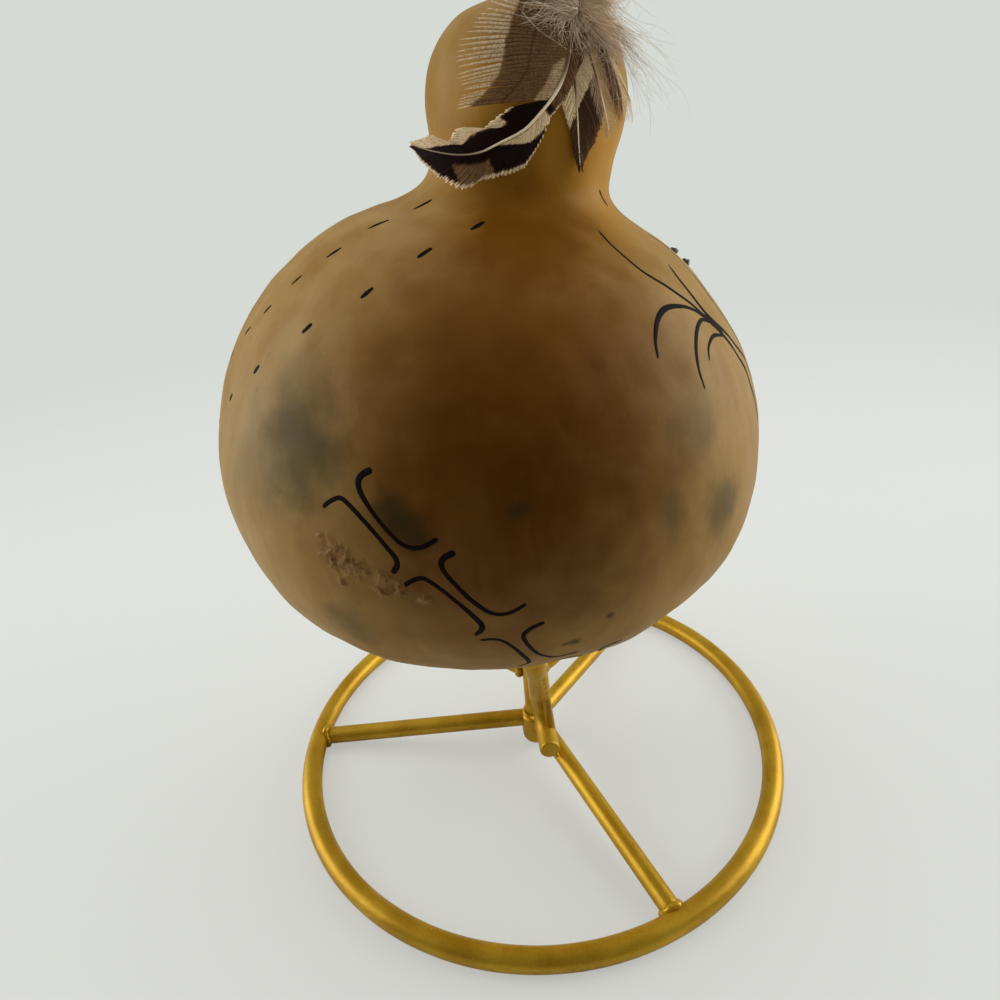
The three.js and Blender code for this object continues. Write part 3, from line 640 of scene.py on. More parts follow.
square = to_unit(np.stack([slope[:, 1], -slope[:, 0]], 1))
outward = from_axis(skin_turn, square[:, :1], 0 * skin_height)
outward[..., 2] = square[:, 1:]
on_skin = np.arange(len(profile))[:, None] < len(outer) - 2
depth = np.where(on_skin, skin_depth(local), 0) * np.clip(skin_height / mm + 60, 0, 1)
gourd_points, gourd_faces = closed_tube(to_world(local + outward * depth[..., None]))

skin_material, skin, skin_place = new_material("gourd_skin", Coat_Weight=0.04, Coat_Roughness=0.25,
                                               Specular_IOR_Level=0.05)


def ball(place, centre, reach, edge=0.5, ragged=0.35):
    """1 inside a ball round a point of the part, falling to 0 at its reach, with a cloudy edge."""
    away = place.node("ShaderNodeVectorMath", {"operation": "DISTANCE"}, place, tuple(centre), out=1)
    away = away + (place.noise(120, 4) - 0.5) * (reach * ragged)
    return 1 - away.step(reach * (1 - edge), reach)


def on_gourd(degrees, level):
    """Place on the gourd's skin, degrees round and a height in mm."""
    return to_world(from_axis(radians(degrees), skin_radius(level * mm), level * mm))


deep, deeper, amber = (0.11, 0.037, 0.0008), (0.066, 0.019, 0.0002), (0.17, 0.062, 0.002)
tan, pale, golden_tone_and_light = (0.26, 0.130, 0.022), (0.40, 0.26, 0.095), (0.46, 0.215, 0.016)
olive, bruised, fleck = (0.066, 0.052, 0.018), (0.030, 0.021, 0.004), (0.08, 0.036, 0.005)
washed, crust, crevice_shade = (0.34, 0.35, 0.21), (0.25, 0.125, 0.045), (0.06, 0.021, 0.004)
cloud = skin_place.noise(14, 5, 0.55)
mottle = skin_place.noise(55, 5, 0.6)
fine = skin_place.noise(320, 4, 0.6)
drawn_out = skin_place.node("ShaderNodeVectorMath", {"operation": "MULTIPLY"}, skin_place, (1, 1, 0.22))
streaks = drawn_out.noise(110, 5, 0.6)
colour = (cloud * 0.5 + mottle * 0.15 + streaks * 0.35).step(0.30, 0.70).mix(tan, pale)
# The front of the neck is made lighter golden: partly the rind's own tone, partly painted light.
colour = (ball(skin_place, on_gourd(-80, 70), 0.034, 0.8) * 0.9).mix(colour, golden_tone_and_light)
# Down the side that faces the camera the rind is made darker amber and deep brown: partly its own colour, partly
# painted shade, as the tent is open and dark on that side.
high = ball(skin_place, on_gourd(-88, 44), 0.050, 0.85)
saddle_tone_and_shade = ball(skin_place, on_gourd(-86, 62), 0.026, 0.8)
colour = (high * 0.85 + saddle_tone_and_shade * 0.6).clamp().mix(colour, amber)
front = ball(skin_place, on_gourd(-92, 16), 0.060, 0.85)
colour = (front * (0.72 + streaks * 0.45)).clamp().mix(colour, cloud.step(0.3, 0.7).mix(deeper, deep))

# Stains, then bruises: (degrees, height in mm, reach in m, strength)
stains = [(-127, 18.8, 0.015, 0.75), (-116, -17.9, 0.009, 0.5), (-48, 11.6, 0.011, 0.65),
          (-62, 14.2, 0.006, 0.4), (-137, 12, 0.020, 0.35), (-133, 30, 0.012, 0.3), (-55, 30, 0.013, 0.3)]
bruises = [(-109, 12.6, 0.0062, 0.75), (-105.5, 9.8, 0.0055, 0.7), (-103, 8.4, 0.004, 0.6),
           (-89.5, 16.3, 0.0028, 0.6), (-88, 17.2, 0.0022, 0.6), (-70, -8.1, 0.0016, 0.9),
           (-74, -16.1, 0.0026, 0.8), (-75.5, -16.6, 0.0018, 0.8)]


def stained(colour, spots, tint):
    """The colour with a cloudy blot of the tint on every spot."""
    for degrees, level, reach, share in spots:
        colour = (ball(skin_place, on_gourd(degrees, level), reach, 0.8, 0.8) * share).mix(colour, tint)
    return colour


colour = stained(colour, stains, olive)
wash = ball(skin_place, on_gourd(-10, 45), 0.012, 0.8)
wash = wash.maths("MAXIMUM", ball(skin_place, on_gourd(-8, 34), 0.012, 0.8))
colour = stained((wash * 0.5).mix(colour, washed), bruises, bruised)
rough_zone = ball(skin_place, on_gourd(-121.5, 3.5), 1.5 * mm, 0.9)
for degrees, level, reach in scab_spots:
    spot = ball(skin_place, on_gourd(degrees, level), reach * 1.7 * mm, 0.9)
    rough_zone = rough_zone.maths("MAXIMUM", spot)
crumbly = skin_place.noise(380, 5, 0.7)
# Painted shade: in the scab the colour goes near-black where its bump pattern is lowest, in its crevices.
colour = (rough_zone * 0.85).mix(colour, crumbly.step(0.33, 0.62).mix(crevice_shade, crust))
colour = (fine.step(0.62, 0.78) * 0.25).mix(colour, fleck)
colour.put(skin["Base Color"])
(0.42 + mottle * 0.16).put(skin["Roughness"])
grain = fine * 0.5 + mottle * 0.5 + streaks * 0.3 + skin_place.noise(900, 3, 0.6) * 0.25
(grain + rough_zone * crumbly * 2).bump(0.0003, 0.4).put(skin["Normal"])
add_piece("gourd_rind", gourd_points, gourd_faces, skin_material, "gourd", "gourd_skin", "gourd_shell")

# The scab: a rough scar of healed ridges, low on the front. It is a finely divided slab that comes up
# through the skin, and its edges stay below it.
scab_turn = np.radians(np.linspace(-128, -97, 190))[None, :]
scab_height = np.linspace(-10 * mm, 9 * mm, 100)[:, None]
scab_flat = from_axis(scab_turn, skin_radius(scab_height), scab_height)
crease = 1 - np.abs(waves(scab_flat, 4.6 * mm, 7, 21))
crumple = 1 - np.abs(waves(scab_flat, 2.0 * mm, 9, 22))
scar = nearness(scab_turn, scab_height, scab_spots)
relief = (scar ** 0.6 * (0.08 + 0.62 * crease + 0.34 * crumple) - 0.14) * mm
scab_out = from_axis(scab_turn, 1 + 0 * scab_height, 0) - from_axis(scab_turn, 0, 0 * scab_height)
scab_top = scab_flat + scab_out * (skin_depth(scab_flat) + relief)[..., None]
scab_under = scab_flat - scab_out * 1.2 * mm
scab_rows = np.concatenate([scab_top, scab_under[:, ::-1]], 1)
add_piece("scab_ridges", *closed_tube(to_world(scab_rows)), skin_material, "gourd", "gourd_skin")

# The painted lines: brushed on in near-black before the varnish. Rows of dashes, a band of linked
# brackets that winds down under the belly, and a sprig of arching blades.
ink_material, ink, ink_place = new_material("ink", Specular_IOR_Level=0.06)
ink_place.noise(700, 3).mix((0.004, 0.0015, 0.001), (0.010, 0.004, 0.003)).put(ink["Base Color"])
(ink_place.noise(500, 3) * 0.2 + 0.55).put(ink["Roughness"])
# A stroke's cross section: the share of its half width, and mm off the skin.
ink_section = np.array([[-1, -0.35], [-0.97, 0.022], [-0.6, 0.036], [0, 0.04], [0.6, 0.036], [0.97, 0.022],
                        [1, -0.35]])


def brush_stroke(route, widths, blunt):
    """A thin raised ribbon on the skin along (degrees, height in mm) places. Its width runs through the list
    of widths in mm, and narrows at both ends to the blunt share of it."""
    route = np.array(route, float)
    level = skin_radius(route[:, 1].mean() * mm) / mm
    flat = smooth_path(route * [radians(1) * level, 1], max(12, int(len(route) * 9)))
    turn, height = flat[:, 0] / level, flat[:, 1] * mm
    along = np.linspace(0, 1, len(flat))
    width = np.interp(along, np.linspace(0, 1, len(widths)), widths)
    tip = np.clip(np.minimum(along, 1 - along) * distances(flat)[-1] / width, 0, 1)
    half = width / 2 * mm * (blunt + (1 - blunt) * np.sqrt(1 - (1 - tip) ** 2))
    half *= 1 + 0.07 * np.sin(9 * along + route[0, 0])
    half[[0, -1]] *= 0.5
    centre = from_axis(turn, skin_radius(height), height)
    ahead = np.gradient(centre, axis=0)
    drop = (skin_radius(height + 0.2 * mm) - skin_radius(height - 0.2 * mm)) / (0.4 * mm)
    out = to_unit(np.stack([np.cos(turn), np.sin(turn), -drop], 1))
    side = to_unit(np.cross(ahead, out))
    centre = centre + out * skin_depth(centre)[:, None]
    swell = np.clip(tip, 0.3, 1)[:, None, None]
    return (centre[:, None] + half[:, None, None] * ink_section[:, :1] * side[:, None]
            + mm * ink_section[:, 1:] * swell * out[:, None])


def joined(grids):
    """Points and faces of several closed tubes, given as grids of rings, numbered through as one."""
    points, faces, start = [], [], 0
    for grid in grids:
        made, quads = closed_tube(grid)
        points.append(made)
        faces += [[i + start for i in face] for face in quads]
        start += len(made)
    return np.concatenate(points), faces


def add_strokes(name, strokes, blunt=0.6):
    """All the strokes of one figure as one piece that rides on the gourd."""
    grids = [to_world(brush_stroke(route, widths, blunt)) for route, *widths in strokes]
    add_piece(name, *joined(grids), ink_material, "gourd", "gourd_skin")


def dashes(places, length, width):
    """Short strokes centred on places (degrees, height in mm, slope up to the right in degrees)."""
    made = []
    for degrees, level, rise in places:
        reach = np.degrees(length / 2 * cos(radians(rise)) / (skin_radius(level * mm) / mm))
        lift = length / 2 * sin(radians(rise))
        made.append(([(degrees - reach, level - lift), (degrees, level), (degrees + reach, level + lift)],
                     width * 0.8, width, width * 0.9))
    return made


upper_dashes = [(-142, 61.2, 62), (-146, 56.6, 62), (-148, 50.6, 60), (-153, 44.5, 60), (-158, 37.5, 58),
                (-162, 31.5, 56), (-167, 24, 55), (-172, 16, 55)]
lower_dashes = [(-108, 59.4, 38), (-119, 54.3, 50), (-127, 46.8, 60), (-137, 38.7, 62), (-146, 28.1, 60),
                (-155, 18.9, 56), (-164, 9, 56), (-173, -1, 56)]
add_strokes("painted_dashes", dashes(upper_dashes, 2.5, 0.95) + dashes(lower_dashes, 2.3, 1.15)
            + [([(-37, 67.2), (-33, 65.2), (-30, 64.1)], 0.6)])

# Each stroke is its route, then its widths in mm from start to end.
sprig = [
    ([(-55.5, 60.4), (-54.7, 58.1), (-52.6, 56.1), (-49.2, 53.6), (-44.3, 51), (-39.5, 47.9), (-35.6, 44.7),
      (-32, 41), (-27.5, 35.8), (-23.9, 28.6), (-20, 21)], 0.5, 0.95, 1.15, 1.0, 0.9),
    ([(-33, 54.8), (-36, 52), (-36.6, 49), (-35.2, 46.1), (-31.2, 42.8), (-26.6, 39.6), (-21.6, 34.8),
      (-17, 29.5)], 0.9, 1.2, 1.2, 1.0),
    ([(-35.6, 45.4), (-41.4, 47.6), (-46.8, 48.6), (-52.6, 48.5), (-57, 46.9), (-59.8, 44.2), (-60.8, 41.1)],
     1.4, 1.05, 1.2, 1.3, 1.1, 0.6),
    ([(-35, 44.9), (-40.3, 45.8), (-45, 44.6), (-48.5, 41.9), (-50.3, 38.4), (-50.1, 35)],
     1.1, 1.0, 1.05, 0.95, 0.5),
    ([(-33, 42.2), (-37.8, 42.9), (-41.6, 42.4), (-44.1, 41.2), (-45.4, 39.4)], 0.7, 0.9, 0.85, 0.5),
    ([(-38.2, 46.8), (-35.2, 44.8), (-32.6, 42.4)], 1.1, 2.2, 1.1),
    ([(-10, 58.9), (-12.3, 56.9), (-14.3, 54.6), (-17, 51.8), (-20, 48.4), (-20, 44), (-15, 36)],
     0.5, 0.65, 0.6),
]
add_strokes("painted_sprig", sprig, 0.3)

# The two halves of a link, (degrees, mm) from its place, and the halves of the third one, which is seen
# too steeply to follow them.
left_link = [(-5.8, 3.8), (-4.6, 5.4), (-2.8, 6.8), (-1.6, 6.5), (3.2, 2.7), (6.2, -0.4), (7.8, -2.5),
             (8.0, -4.0), (7.2, -5.9)]
right_link = [(2.2, 13.7), (0.6, 12.2), (0.2, 11.0), (0.6, 9.5), (3.2, 6.1), (6.2, 3.0), (8.6, 1.0),
              (10.2, 0.6), (12.0, 1.3), (14.2, 3.5)]
third_left = [(-92, -13.6), (-90.2, -13), (-88.4, -13.3), (-86.5, -15), (-83, -19.3), (-80.3, -22.9),
              (-79.4, -25), (-80.5, -27.2)]
third_right = [(-82, -8.1), (-84.2, -10), (-84.9, -11.8), (-83.8, -14.4), (-80.8, -18.4), (-77.6, -21.4),
               (-74.6, -23), (-70, -21.8)]
link_places = [(-115.2, 6.0), (-100.3, -6.4), (-64, -33.5), (-44, -43)]
links = []
for middle, level in link_places:
    stretch = skin_radius(6 * mm) / skin_radius(level * mm)
    for link, *widths in ((left_link, 1.0, 0.95, 1.05, 1.25), (right_link, 1.4, 1.0, 0.95, 0.95)):
        links.append(([(middle + a * stretch, level + h) for a, h in link], *widths))
links += [(third_left, 0.8, 0.85, 0.95, 1.1), (third_right, 1.2, 0.95, 0.85, 0.8)]
add_strokes("painted_links", links, 0.75)

# The stone crumbs: three broken bits of dark green stone, glued in a row to the shoulder beside the
# sprig.
stone_material, stone, stone_place = new_material("stone", Specular_IOR_Level=0.6)
grit = stone_place.noise(900, 5, 0.7)
grit.step(0.35, 0.7).mix((0.012, 0.02, 0.016), (0.10, 0.14, 0.12)).put(stone["Base Color"])
(0.35 + grit * 0.35).put(stone["Roughness"])
grit.bump(0.0004, 0.8).put(stone["Normal"])


def lump(low, high, size, strength, seed, rows=22, columns=32):
    """A ball in the box between two corners, its surface broken up: radius * (1 + strength * waves)."""
    turn = np.linspace(0, tau, columns, endpoint=False)[None, :]
    dip = np.linspace(0.05, np.pi - 0.05, rows)[:, None]
    way = np.stack(np.broadcast_arrays(
        np.sin(dip) * np.cos(turn), np.sin(dip) * np.sin(turn), np.cos(dip)), -1)
    rough = 1 + strength * waves(way, size, 12, seed)[..., None]
    return (low + high) / 2 + way * (high - low) / 2 * rough


sunk = 0.55 * mm * np.array([0.55, 0.13, 0.83])
for i in range(3):
    low, high = (np.array(corner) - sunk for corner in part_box(f"stone_crumb_{i + 1}"))
    broken = lump(low, high, 0.9, 0.13, i)
    add_piece(f"crumb_{i + 1}", *closed_tube(broken), stone_material, "gourd", "stone", f"stone_crumb_{i + 1}")

# The stem: a dry stub, ribbed lengthwise, flared where it grows out of the crown and cut off
# roughly at the top.
stem_material, stem_inputs, stem_place = new_material("stem", Roughness=0.8, Specular_IOR_Level=0.2)
fibre = stem_place.node("ShaderNodeMapping", {}, stem_place, Scale=(1, 1, 0.08)).noise(900, 4, 0.6)
weathered = (fibre * 0.7 + stem_place.noise(120) * 0.3).step(0.35, 0.68)
weathered.mix((0.07, 0.035, 0.012), (0.30, 0.19, 0.085)).put(stem_inputs["Base Color"])
fibre.bump(0.0006, 0.7).put(stem_inputs["Normal"])
stem_height, stem_flare = 19 * mm, 1.3 * mm
stem_profile = rounded_profile([
    (tiny, -rind, 0), (stem_radius, -rind, 0.2 * mm), (stem_radius, 0.3 * mm, 0.25 * mm),
    (stem_radius + 0.9 * stem_flare, 1.2 * stem_flare, 0.8 * mm), (stem_radius, 3.4 * stem_flare, 2 * mm),
    (stem_radius - 0.15 * stem_flare, stem_height - 3 * stem_flare, 2 * mm),
    (stem_radius + 0.3 * stem_flare, stem_height, 0.5 * mm), (tiny, stem_height, 0)])
stem_profile = evenly(stem_profile, 0.35 * mm)
stem_turn = np.linspace(0, tau, 96, endpoint=False)[None, :]
rise = stem_profile[:, 1:]
ribbed = np.clip((rise - 0.8 * mm) / (3 * mm), 0, 1)
ribs = 1 - ribbed * (0.05 + 0.05 * np.cos(7 * stem_turn + rise / (9 * mm)) + 0.02 * np.cos(17 * stem_turn))
girth = stem_profile[:, :1] * ribs
stem_local = np.stack(np.broadcast_arrays(
    girth * np.cos(stem_turn), girth * np.sin(stem_turn), rise + crown_top), -1)
cut = np.clip((rise - stem_height + 0.6 * mm) / (0.6 * mm), 0, 1)
stem_local[..., 2] += cut * 0.35 * mm * waves(stem_local, 2.5 * mm, 8, 4)
add_piece("stem_stub", *closed_tube(to_world(stem_local)), stem_material, "gourd", "stem", "stem")

# The seeds: flat and pale, with a thick rim, loose on the floor of the dried gourd.
seed_material, seed_inputs, seed_place = new_material("seed", Roughness=0.65)
seed_place.noise(400, 4).mix((0.42, 0.30, 0.15), (0.72, 0.60, 0.40)).put(seed_inputs["Base Color"])
seed_length, seed_width, seed_thickness = 14 * mm, 7.5 * mm, 3 * mm
seed_turn = np.linspace(0, tau, 36, endpoint=False)[None, :]
across = np.linspace(-0.97, 0.97, 15)[:, None]
blade = np.sqrt(1 - np.abs(across) ** 2.6)
rim = 1 - 0.25 * np.exp(-((np.abs(across) - 0.6) / 0.18) ** 2)
seed_x, seed_y, seed_z = np.broadcast_arrays(
    seed_length / 2 * across, seed_width / 2 * blade * np.cos(seed_turn) * (1 - 0.12 * across),
    seed_thickness / 2 * blade * np.sin(seed_turn) * rim)
for i in range(5):
    low, high = (np.array(corner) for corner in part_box(f"seed_{i + 1}"))
    spin = radians(35 + 75 * i)
    placed = np.stack([seed_x * cos(spin) - seed_y * sin(spin), seed_x * sin(spin) + seed_y * cos(spin),
                       seed_z], -1) + (low + high) / 2
    add_piece(f"seed_kernel_{i + 1}", *closed_tube(placed), seed_material, "gourd", "seed", f"seed_{i + 1}")

# The cord: three-ply plant fibre, wound round the stem and, in a second length, round the four
# quills that are bunched beside it.
cord_material, cord_inputs, cord_place = new_material("cord", Roughness=0.85, Specular_IOR_Level=0.15)
cord_place.noise(1500, 4, 0.7).mix((0.13, 0.08, 0.035), (0.42, 0.31, 0.17)).put(cord_inputs["Base Color"])
cord_place.noise(3000, 3).bump(0.0002, 0.6).put(cord_inputs["Normal"])
cord_thickness, cord_pitch = 0.9 * mm, 1.45 * mm
tie_turn, tie_height, bundle_fall = -62, 5.5 * mm, radians(18)
quill_radius, quill_spread, whipping_turns, stem_turns = 0.55 * mm, 1.05 * mm, 4, 2.5
cord_lift = stem_radius + clearance + slack + cord_thickness / 2
whipping_lift = quill_spread + quill_radius + clearance + slack + cord_thickness / 2
whipping_length = cord_pitch * whipping_turns + cord_thickness
bundle_start = cord_lift + cord_thickness / 2 + 2 * clearance


def bundle_point(along):
    """Place on the middle line of the bunched quills, this far from its end beside the stem."""
    reach = bundle_start + along * cos(bundle_fall)
    return unit(tie_turn) * reach + up * (crown_top + tie_height - along * sin(bundle_fall))


def wound(radius, turns):
    """Centre line of a cord wound round the Z axis: a helix, its turns a pitch apart."""
    share = np.linspace(0, 1, int(56 * turns))
    return np.stack([radius * np.cos(tau * turns * share), radius * np.sin(tau * turns * share),
                     cord_pitch * turns * (share - 0.5)], 1)


def twisted(path, side, lay=2.2 * mm, plies=3, steps=60):
    """Plies laid round a path: each ply's centre goes round it once in every lay."""
    ring = tube(path, cord_thickness * 0.27, side, around=plies * steps)
    for ply in range(plies):
        spot = ((distances(path) / lay + ply / plies) * plies * steps).astype(int) % (plies * steps)
        yield tube(ring[np.arange(len(path)), spot], cord_thickness * 0.25, side, around=9)


def add_cord(name, node, body, path, side):
    """One cord along a path in the gourd's own frame; the path never runs along the side vector."""
    points, faces = joined(twisted(path, side))
    add_piece(name, to_world(points), faces, cord_material, body, "cord", node)


stem_winding = wound(cord_lift, stem_turns) + up * (crown_top + tie_height + cord_pitch)
add_cord("stem_binding", "stem_cord", "gourd", stem_winding, up)
tip_down, spin = np.pi / 2 + bundle_fall, radians(tie_turn)
turn_down = np.array([[cos(tip_down), 0, sin(tip_down)], [0, 1, 0], [-sin(tip_down), 0, cos(tip_down)]])
turn_round = np.array([[cos(spin), -sin(spin), 0], [sin(spin), cos(spin), 0], [0, 0, 1]])
bundle_way = turn_round @ turn_down
coil = wound(whipping_lift, whipping_turns) @ bundle_way.T
add_cord("quill_binding", "quill_whipping", "feathers",
         coil + bundle_point(whipping_length / 2 + 2 * clearance), bundle_way @ up)

# The feathers: four body feathers, tied by their quills. Each is a tapered shaft with barbs along
# both sides, laid over the neck; the lowest barbs are loose down.
flat_top = crown_top - 4 * mm
quill_length = whipping_length + 4 * clearance
bare_length = quill_length + 5 * mm


def laid_radius(height):
    return skin_radius(np.minimum(height, flat_top))


class Spine:
    """A feather's shaft line in the gourd's frame, and the directions of its vane at any length along it."""

    def __init__(self, corner, places):
        aside = unit(tie_turn + 90) * quill_spread * cos(radians(corner))
        aside = aside + [0, 0, quill_spread * sin(radians(corner))]
        quill = [bundle_point(along) + aside for along in (0, quill_length / 2, quill_length)]
        over_skin = [unit(turn) * (laid_radius(crown_top - below * mm) + gap * mm)
                     + np.array([0, 0, crown_top - below * mm]) for turn, below, gap in places]
        self.path = smooth_path(quill + over_skin, 240)
        self.length = np.linalg.norm(np.diff(self.path, axis=0), axis=1).sum()
        self.reach = np.linspace(0, self.length, len(self.path))
        self.along = np.gradient(self.path, axis=0)
        self.along /= np.linalg.norm(self.along, axis=1, keepdims=True)
        share = self.reach / self.length
        bare = bare_length / self.length
        upright = 1 - np.clip((share - bare * 0.8) / (bare * 0.7), 0, 1)
        upright = upright * upright * (3 - 2 * upright)
        turn = np.arctan2(self.path[:, 1], self.path[:, 0])
        face = np.stack([np.cos(turn), np.sin(turn), upright], 1)
        face -= (face * self.along).sum(1, keepdims=True) * self.along
        self.face = face / np.linalg.norm(face, axis=1, keepdims=True)
        self.aside = np.cross(self.face, self.along)

    def at(self, table, reach):
        return np.stack([np.interp(reach, self.reach, table[:, k]) for k in range(3)], -1)

    def laid(self, reach, aside, ahead, lift):
        """Place on the vane: from the shaft at reach, go aside and ahead along the skin, and lift off it."""
        middle, across, along = (self.at(t, reach) for t in (self.path, self.aside, self.along))
        turn = np.arctan2(middle[..., 1], middle[..., 0])
        start = np.hypot(middle[..., 0], middle[..., 1])
        move = across * aside[..., None] + along * ahead[..., None]
        level = -np.sin(turn) * move[..., 0] + np.cos(turn) * move[..., 1]
        height = middle[..., 2] + move[..., 2]
        radius = start + laid_radius(height) - laid_radius(middle[..., 2]) + lift
        swing = turn + level / start
        return np.stack([radius * np.cos(swing), radius * np.sin(swing), height], -1)


def barb_ribbons(centre, half, thickness):
    """Thin three-sided ribbons, one for each row of centre points: points and faces."""
    count, steps = centre.shape[:2]
    ahead = np.gradient(centre, axis=1)
    ahead /= np.linalg.norm(ahead, axis=2, keepdims=True) + 1e-12
    turn = np.arctan2(centre[..., 1], centre[..., 0])
    out = np.stack([np.cos(turn), np.sin(turn), np.full_like(turn, 0.15)], -1)
    side = np.cross(out, ahead)
    side /= np.linalg.norm(side, axis=2, keepdims=True) + 1e-12
    up = np.cross(ahead, side)
    ridge = np.broadcast_to(thickness, half.shape)[..., None]
    edge = half[..., None] * side
    points = np.stack([centre - edge, centre + edge, centre + ridge * up], 2)
    one = grid_faces(steps, 3, close_columns=True)
    starts = (np.arange(count) * steps * 3)[:, None, None]
    quads = (one[None] + starts).reshape(-1, 4).tolist()
    first, last = np.array([[2, 1, 0]]), np.array([[0, 1, 2]]) + 3 * (steps - 1)
    ends = np.concatenate([first + starts[:, 0], last + starts[:, 0]])
    return points.reshape(-1, 3), quads + ends.tolist()


def vane(spine, feather, rng, spacing=0.46 * mm):
    """Barbs of both sides: centre lines, half widths, and their pattern: where a point lies along the shaft
    and aside from it, and the share of its barb that it lies at."""
    free = spine.length - bare_length
    roots = np.arange(0.4 * mm, free - 0.3 * mm, spacing)
    share = roots / free
    steps = np.linspace(0, 1, 13)[None, :]
    centres, halves, marks = [], [], []
    for sign, side_name in ((-1, "left"), (1, "right")):
        table = np.array(feather[side_name])
        reach = np.interp(share, table[:, 0], table[:, 1])[:, None] * mm
        reach = reach * (1 + 0.02 * rng.normal(size=(len(roots), 1)))
        lean_over = np.radians(np.interp(share, table[:, 0], table[:, 2]))[:, None]
        drift = np.convolve(rng.normal(size=len(roots)), np.hanning(9), "same")[:, None] * 0.35
        drift = drift + 0.25 * rng.normal(size=(len(roots), 1))
        loose = np.clip((steps - feather["closed"]) / (1.02 - feather["closed"]), 0, 1)
        loose = loose * np.clip((reach - feather["stiff"] * mm) / (5 * mm), 0.06, 1)
        aside = sign * reach * steps
        ahead = reach / np.tan(lean_over) * steps ** 1.15 + drift * loose * 0.9 * mm
        lift = 0.03 * reach * np.sin(steps * 3) + drift * loose * 0.6 * mm
        lift = lift + 0.03 * mm * rng.normal(size=reach.shape)
        root = (bare_length + roots)[:, None] + 0 * steps
        centres.append(spine.laid(root, aside, ahead, lift))
        to_next = np.diff(centres[-1], axis=0)
        run = np.gradient(centres[-1], axis=1)[:-1]
        run /= np.linalg.norm(run, axis=-1, keepdims=True)
        gap = np.linalg.norm(to_next - (to_next * run).sum(-1, keepdims=True) * run, axis=-1)
        gap = np.minimum(np.concatenate([gap, gap[-1:]]), 1.6 * spacing)
        half = gap * feather["fill"] * (1 - 0.74 * loose) + 0.02 * mm
        blunt = 0.85 - 0.73 * np.clip((reach - feather["stiff"] * mm) / (5 * mm), 0, 1)
        halves.append(half * np.clip((1 - steps) * 9, blunt, 1))
        marks.append(np.stack([(roots[:, None] + ahead) / mm / 100, aside / mm / 100 + 0.5,
                               steps + 0 * aside, root / mm / 100], -1))
    return np.concatenate(centres), np.concatenate(halves), np.concatenate(marks)


def down(spine, first, last, count, reach, ways, rng, lifted=0.4):
    """Loose wavy strands that leave the shaft between two places along it, at angles from it between ways
    in degrees, negative to its left."""
    steps = np.linspace(0, 1, 10)[None, :]
    root = rng.uniform(first, last, (count, 1)) + 0 * steps
    size = reach * rng.uniform(0.45, 1.25, (count, 1))
    way = np.radians(rng.uniform(ways[0], ways[1], (count, 1)))
    curl = rng.normal(size=(count, 1)) * 0.6
    wave = 0.05 * np.sin(steps * rng.uniform(5, 13, (count, 1)) + rng.uniform(0, tau, (count, 1)))
    heading = way + curl * steps
    aside = size * steps * (np.sin(heading) + wave)
    ahead = size * steps * (np.cos(heading) + wave)
    lift = size * steps * rng.uniform(-0.02, lifted, (count, 1)) + 0.3 * mm
    return spine.laid(root, aside, ahead, lift), 0.055 * mm * (1 - 0.7 * steps) + 0 * aside


def feather_paint(name, patches, ground, fringe):
    """Barred plumage from black-brown at tone 0 to cream at 1: a ground tone, with patches of (tone, from, to,
    inner, outer, slope) in mm along the shaft and aside from it, their edges frayed from barb to barb. The
    barbs' last tenth has the fringe's tone."""
    material, inputs, place = new_material(name, Roughness=0.7, Specular_IOR_Level=0.12)
    tree = material.node_tree
    mark, edge = (Wire(tree, tree.nodes.new("ShaderNodeUVMap").outputs["UV"]) for _ in range(2))
    mark.value.node.uv_map, edge.value.node.uv_map = "pattern", "edge"
    along = mark.node("ShaderNodeSeparateXYZ", {}, mark, out=0) * 100
    aside = mark.node("ShaderNodeSeparateXYZ", {}, mark, out=1) * 100 - 50
    barb_share = edge.node("ShaderNodeSeparateXYZ", {}, edge, out=0)
    barb_root = edge.node("ShaderNodeSeparateXYZ", {}, edge, out=1)
    fray = (place.noise(1300, 2) - 0.5) * 1.5
    tone, blur = along * 0 + ground, 0.35
    for level, start, end, inner, outer, slope in patches:
        where = along - aside * slope + fray
        across = aside + fray * 0.4
        inside = where.step(start - blur, start + blur) * (1 - where.step(end - blur, end + blur))
        inside = inside * across.step(inner - blur, inner + blur)
        inside = inside * (1 - across.step(outer - blur, outer + blur))
        tone = tone * (1 - inside) + inside * level
    if fringe:
        trimmed = barb_share.step(0.86, 0.93) * barb_root.step(0.33, 0.36) * fringe
        tone = tone * (1 - trimmed) + trimmed * 0.95
    streak = place.noise(2600, 3, 0.6).step(0.3, 0.75)
    tone = (tone * (1.12 - streak * 0.35)).clamp()
    colour = tone.node("ShaderNodeValToRGB", {"stops": plume_tones}, tone)
    colour.put(inputs["Base Color"])
    streak.bump(0.00012, 0.4).put(inputs["Normal"])
    return material


def add_barbs(name, body_points, body_faces, material, uv=None):
    barbs = make_piece(name, to_world(body_points), body_faces, material, uv)
    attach(barbs, "feathers")
    return barbs


plume_tones = [(0.0, (0.013, 0.0035, 0.002)), (0.3, (0.12, 0.052, 0.017)), (0.6, (0.33, 0.19, 0.085)),
               (1.0, (0.80, 0.60, 0.36))]
shaft_material, shaft_inputs, shaft_place = new_material("quill", Roughness=0.4, Specular_IOR_Level=0.3)
shaft_mark = Wire(shaft_material.node_tree, shaft_material.node_tree.nodes.new("ShaderNodeUVMap").outputs["UV"])
shaft_along = shaft_mark.node("ShaderNodeSeparateXYZ", {}, shaft_mark, out=0) * 100
(shaft_along.step(30, 37) * (1 - shaft_along.step(49, 57) * 0.8) * 0.9).mix((0.16, 0.08, 0.035), (1.0, 0.82, 0.56)).put(
    shaft_inputs["Base Color"])
down_material, down_inputs, down_place = new_material("down", Roughness=0.8, Specular_IOR_Level=0.1)
down_tone = down_place.noise(200, 3).step(0.3, 0.7)
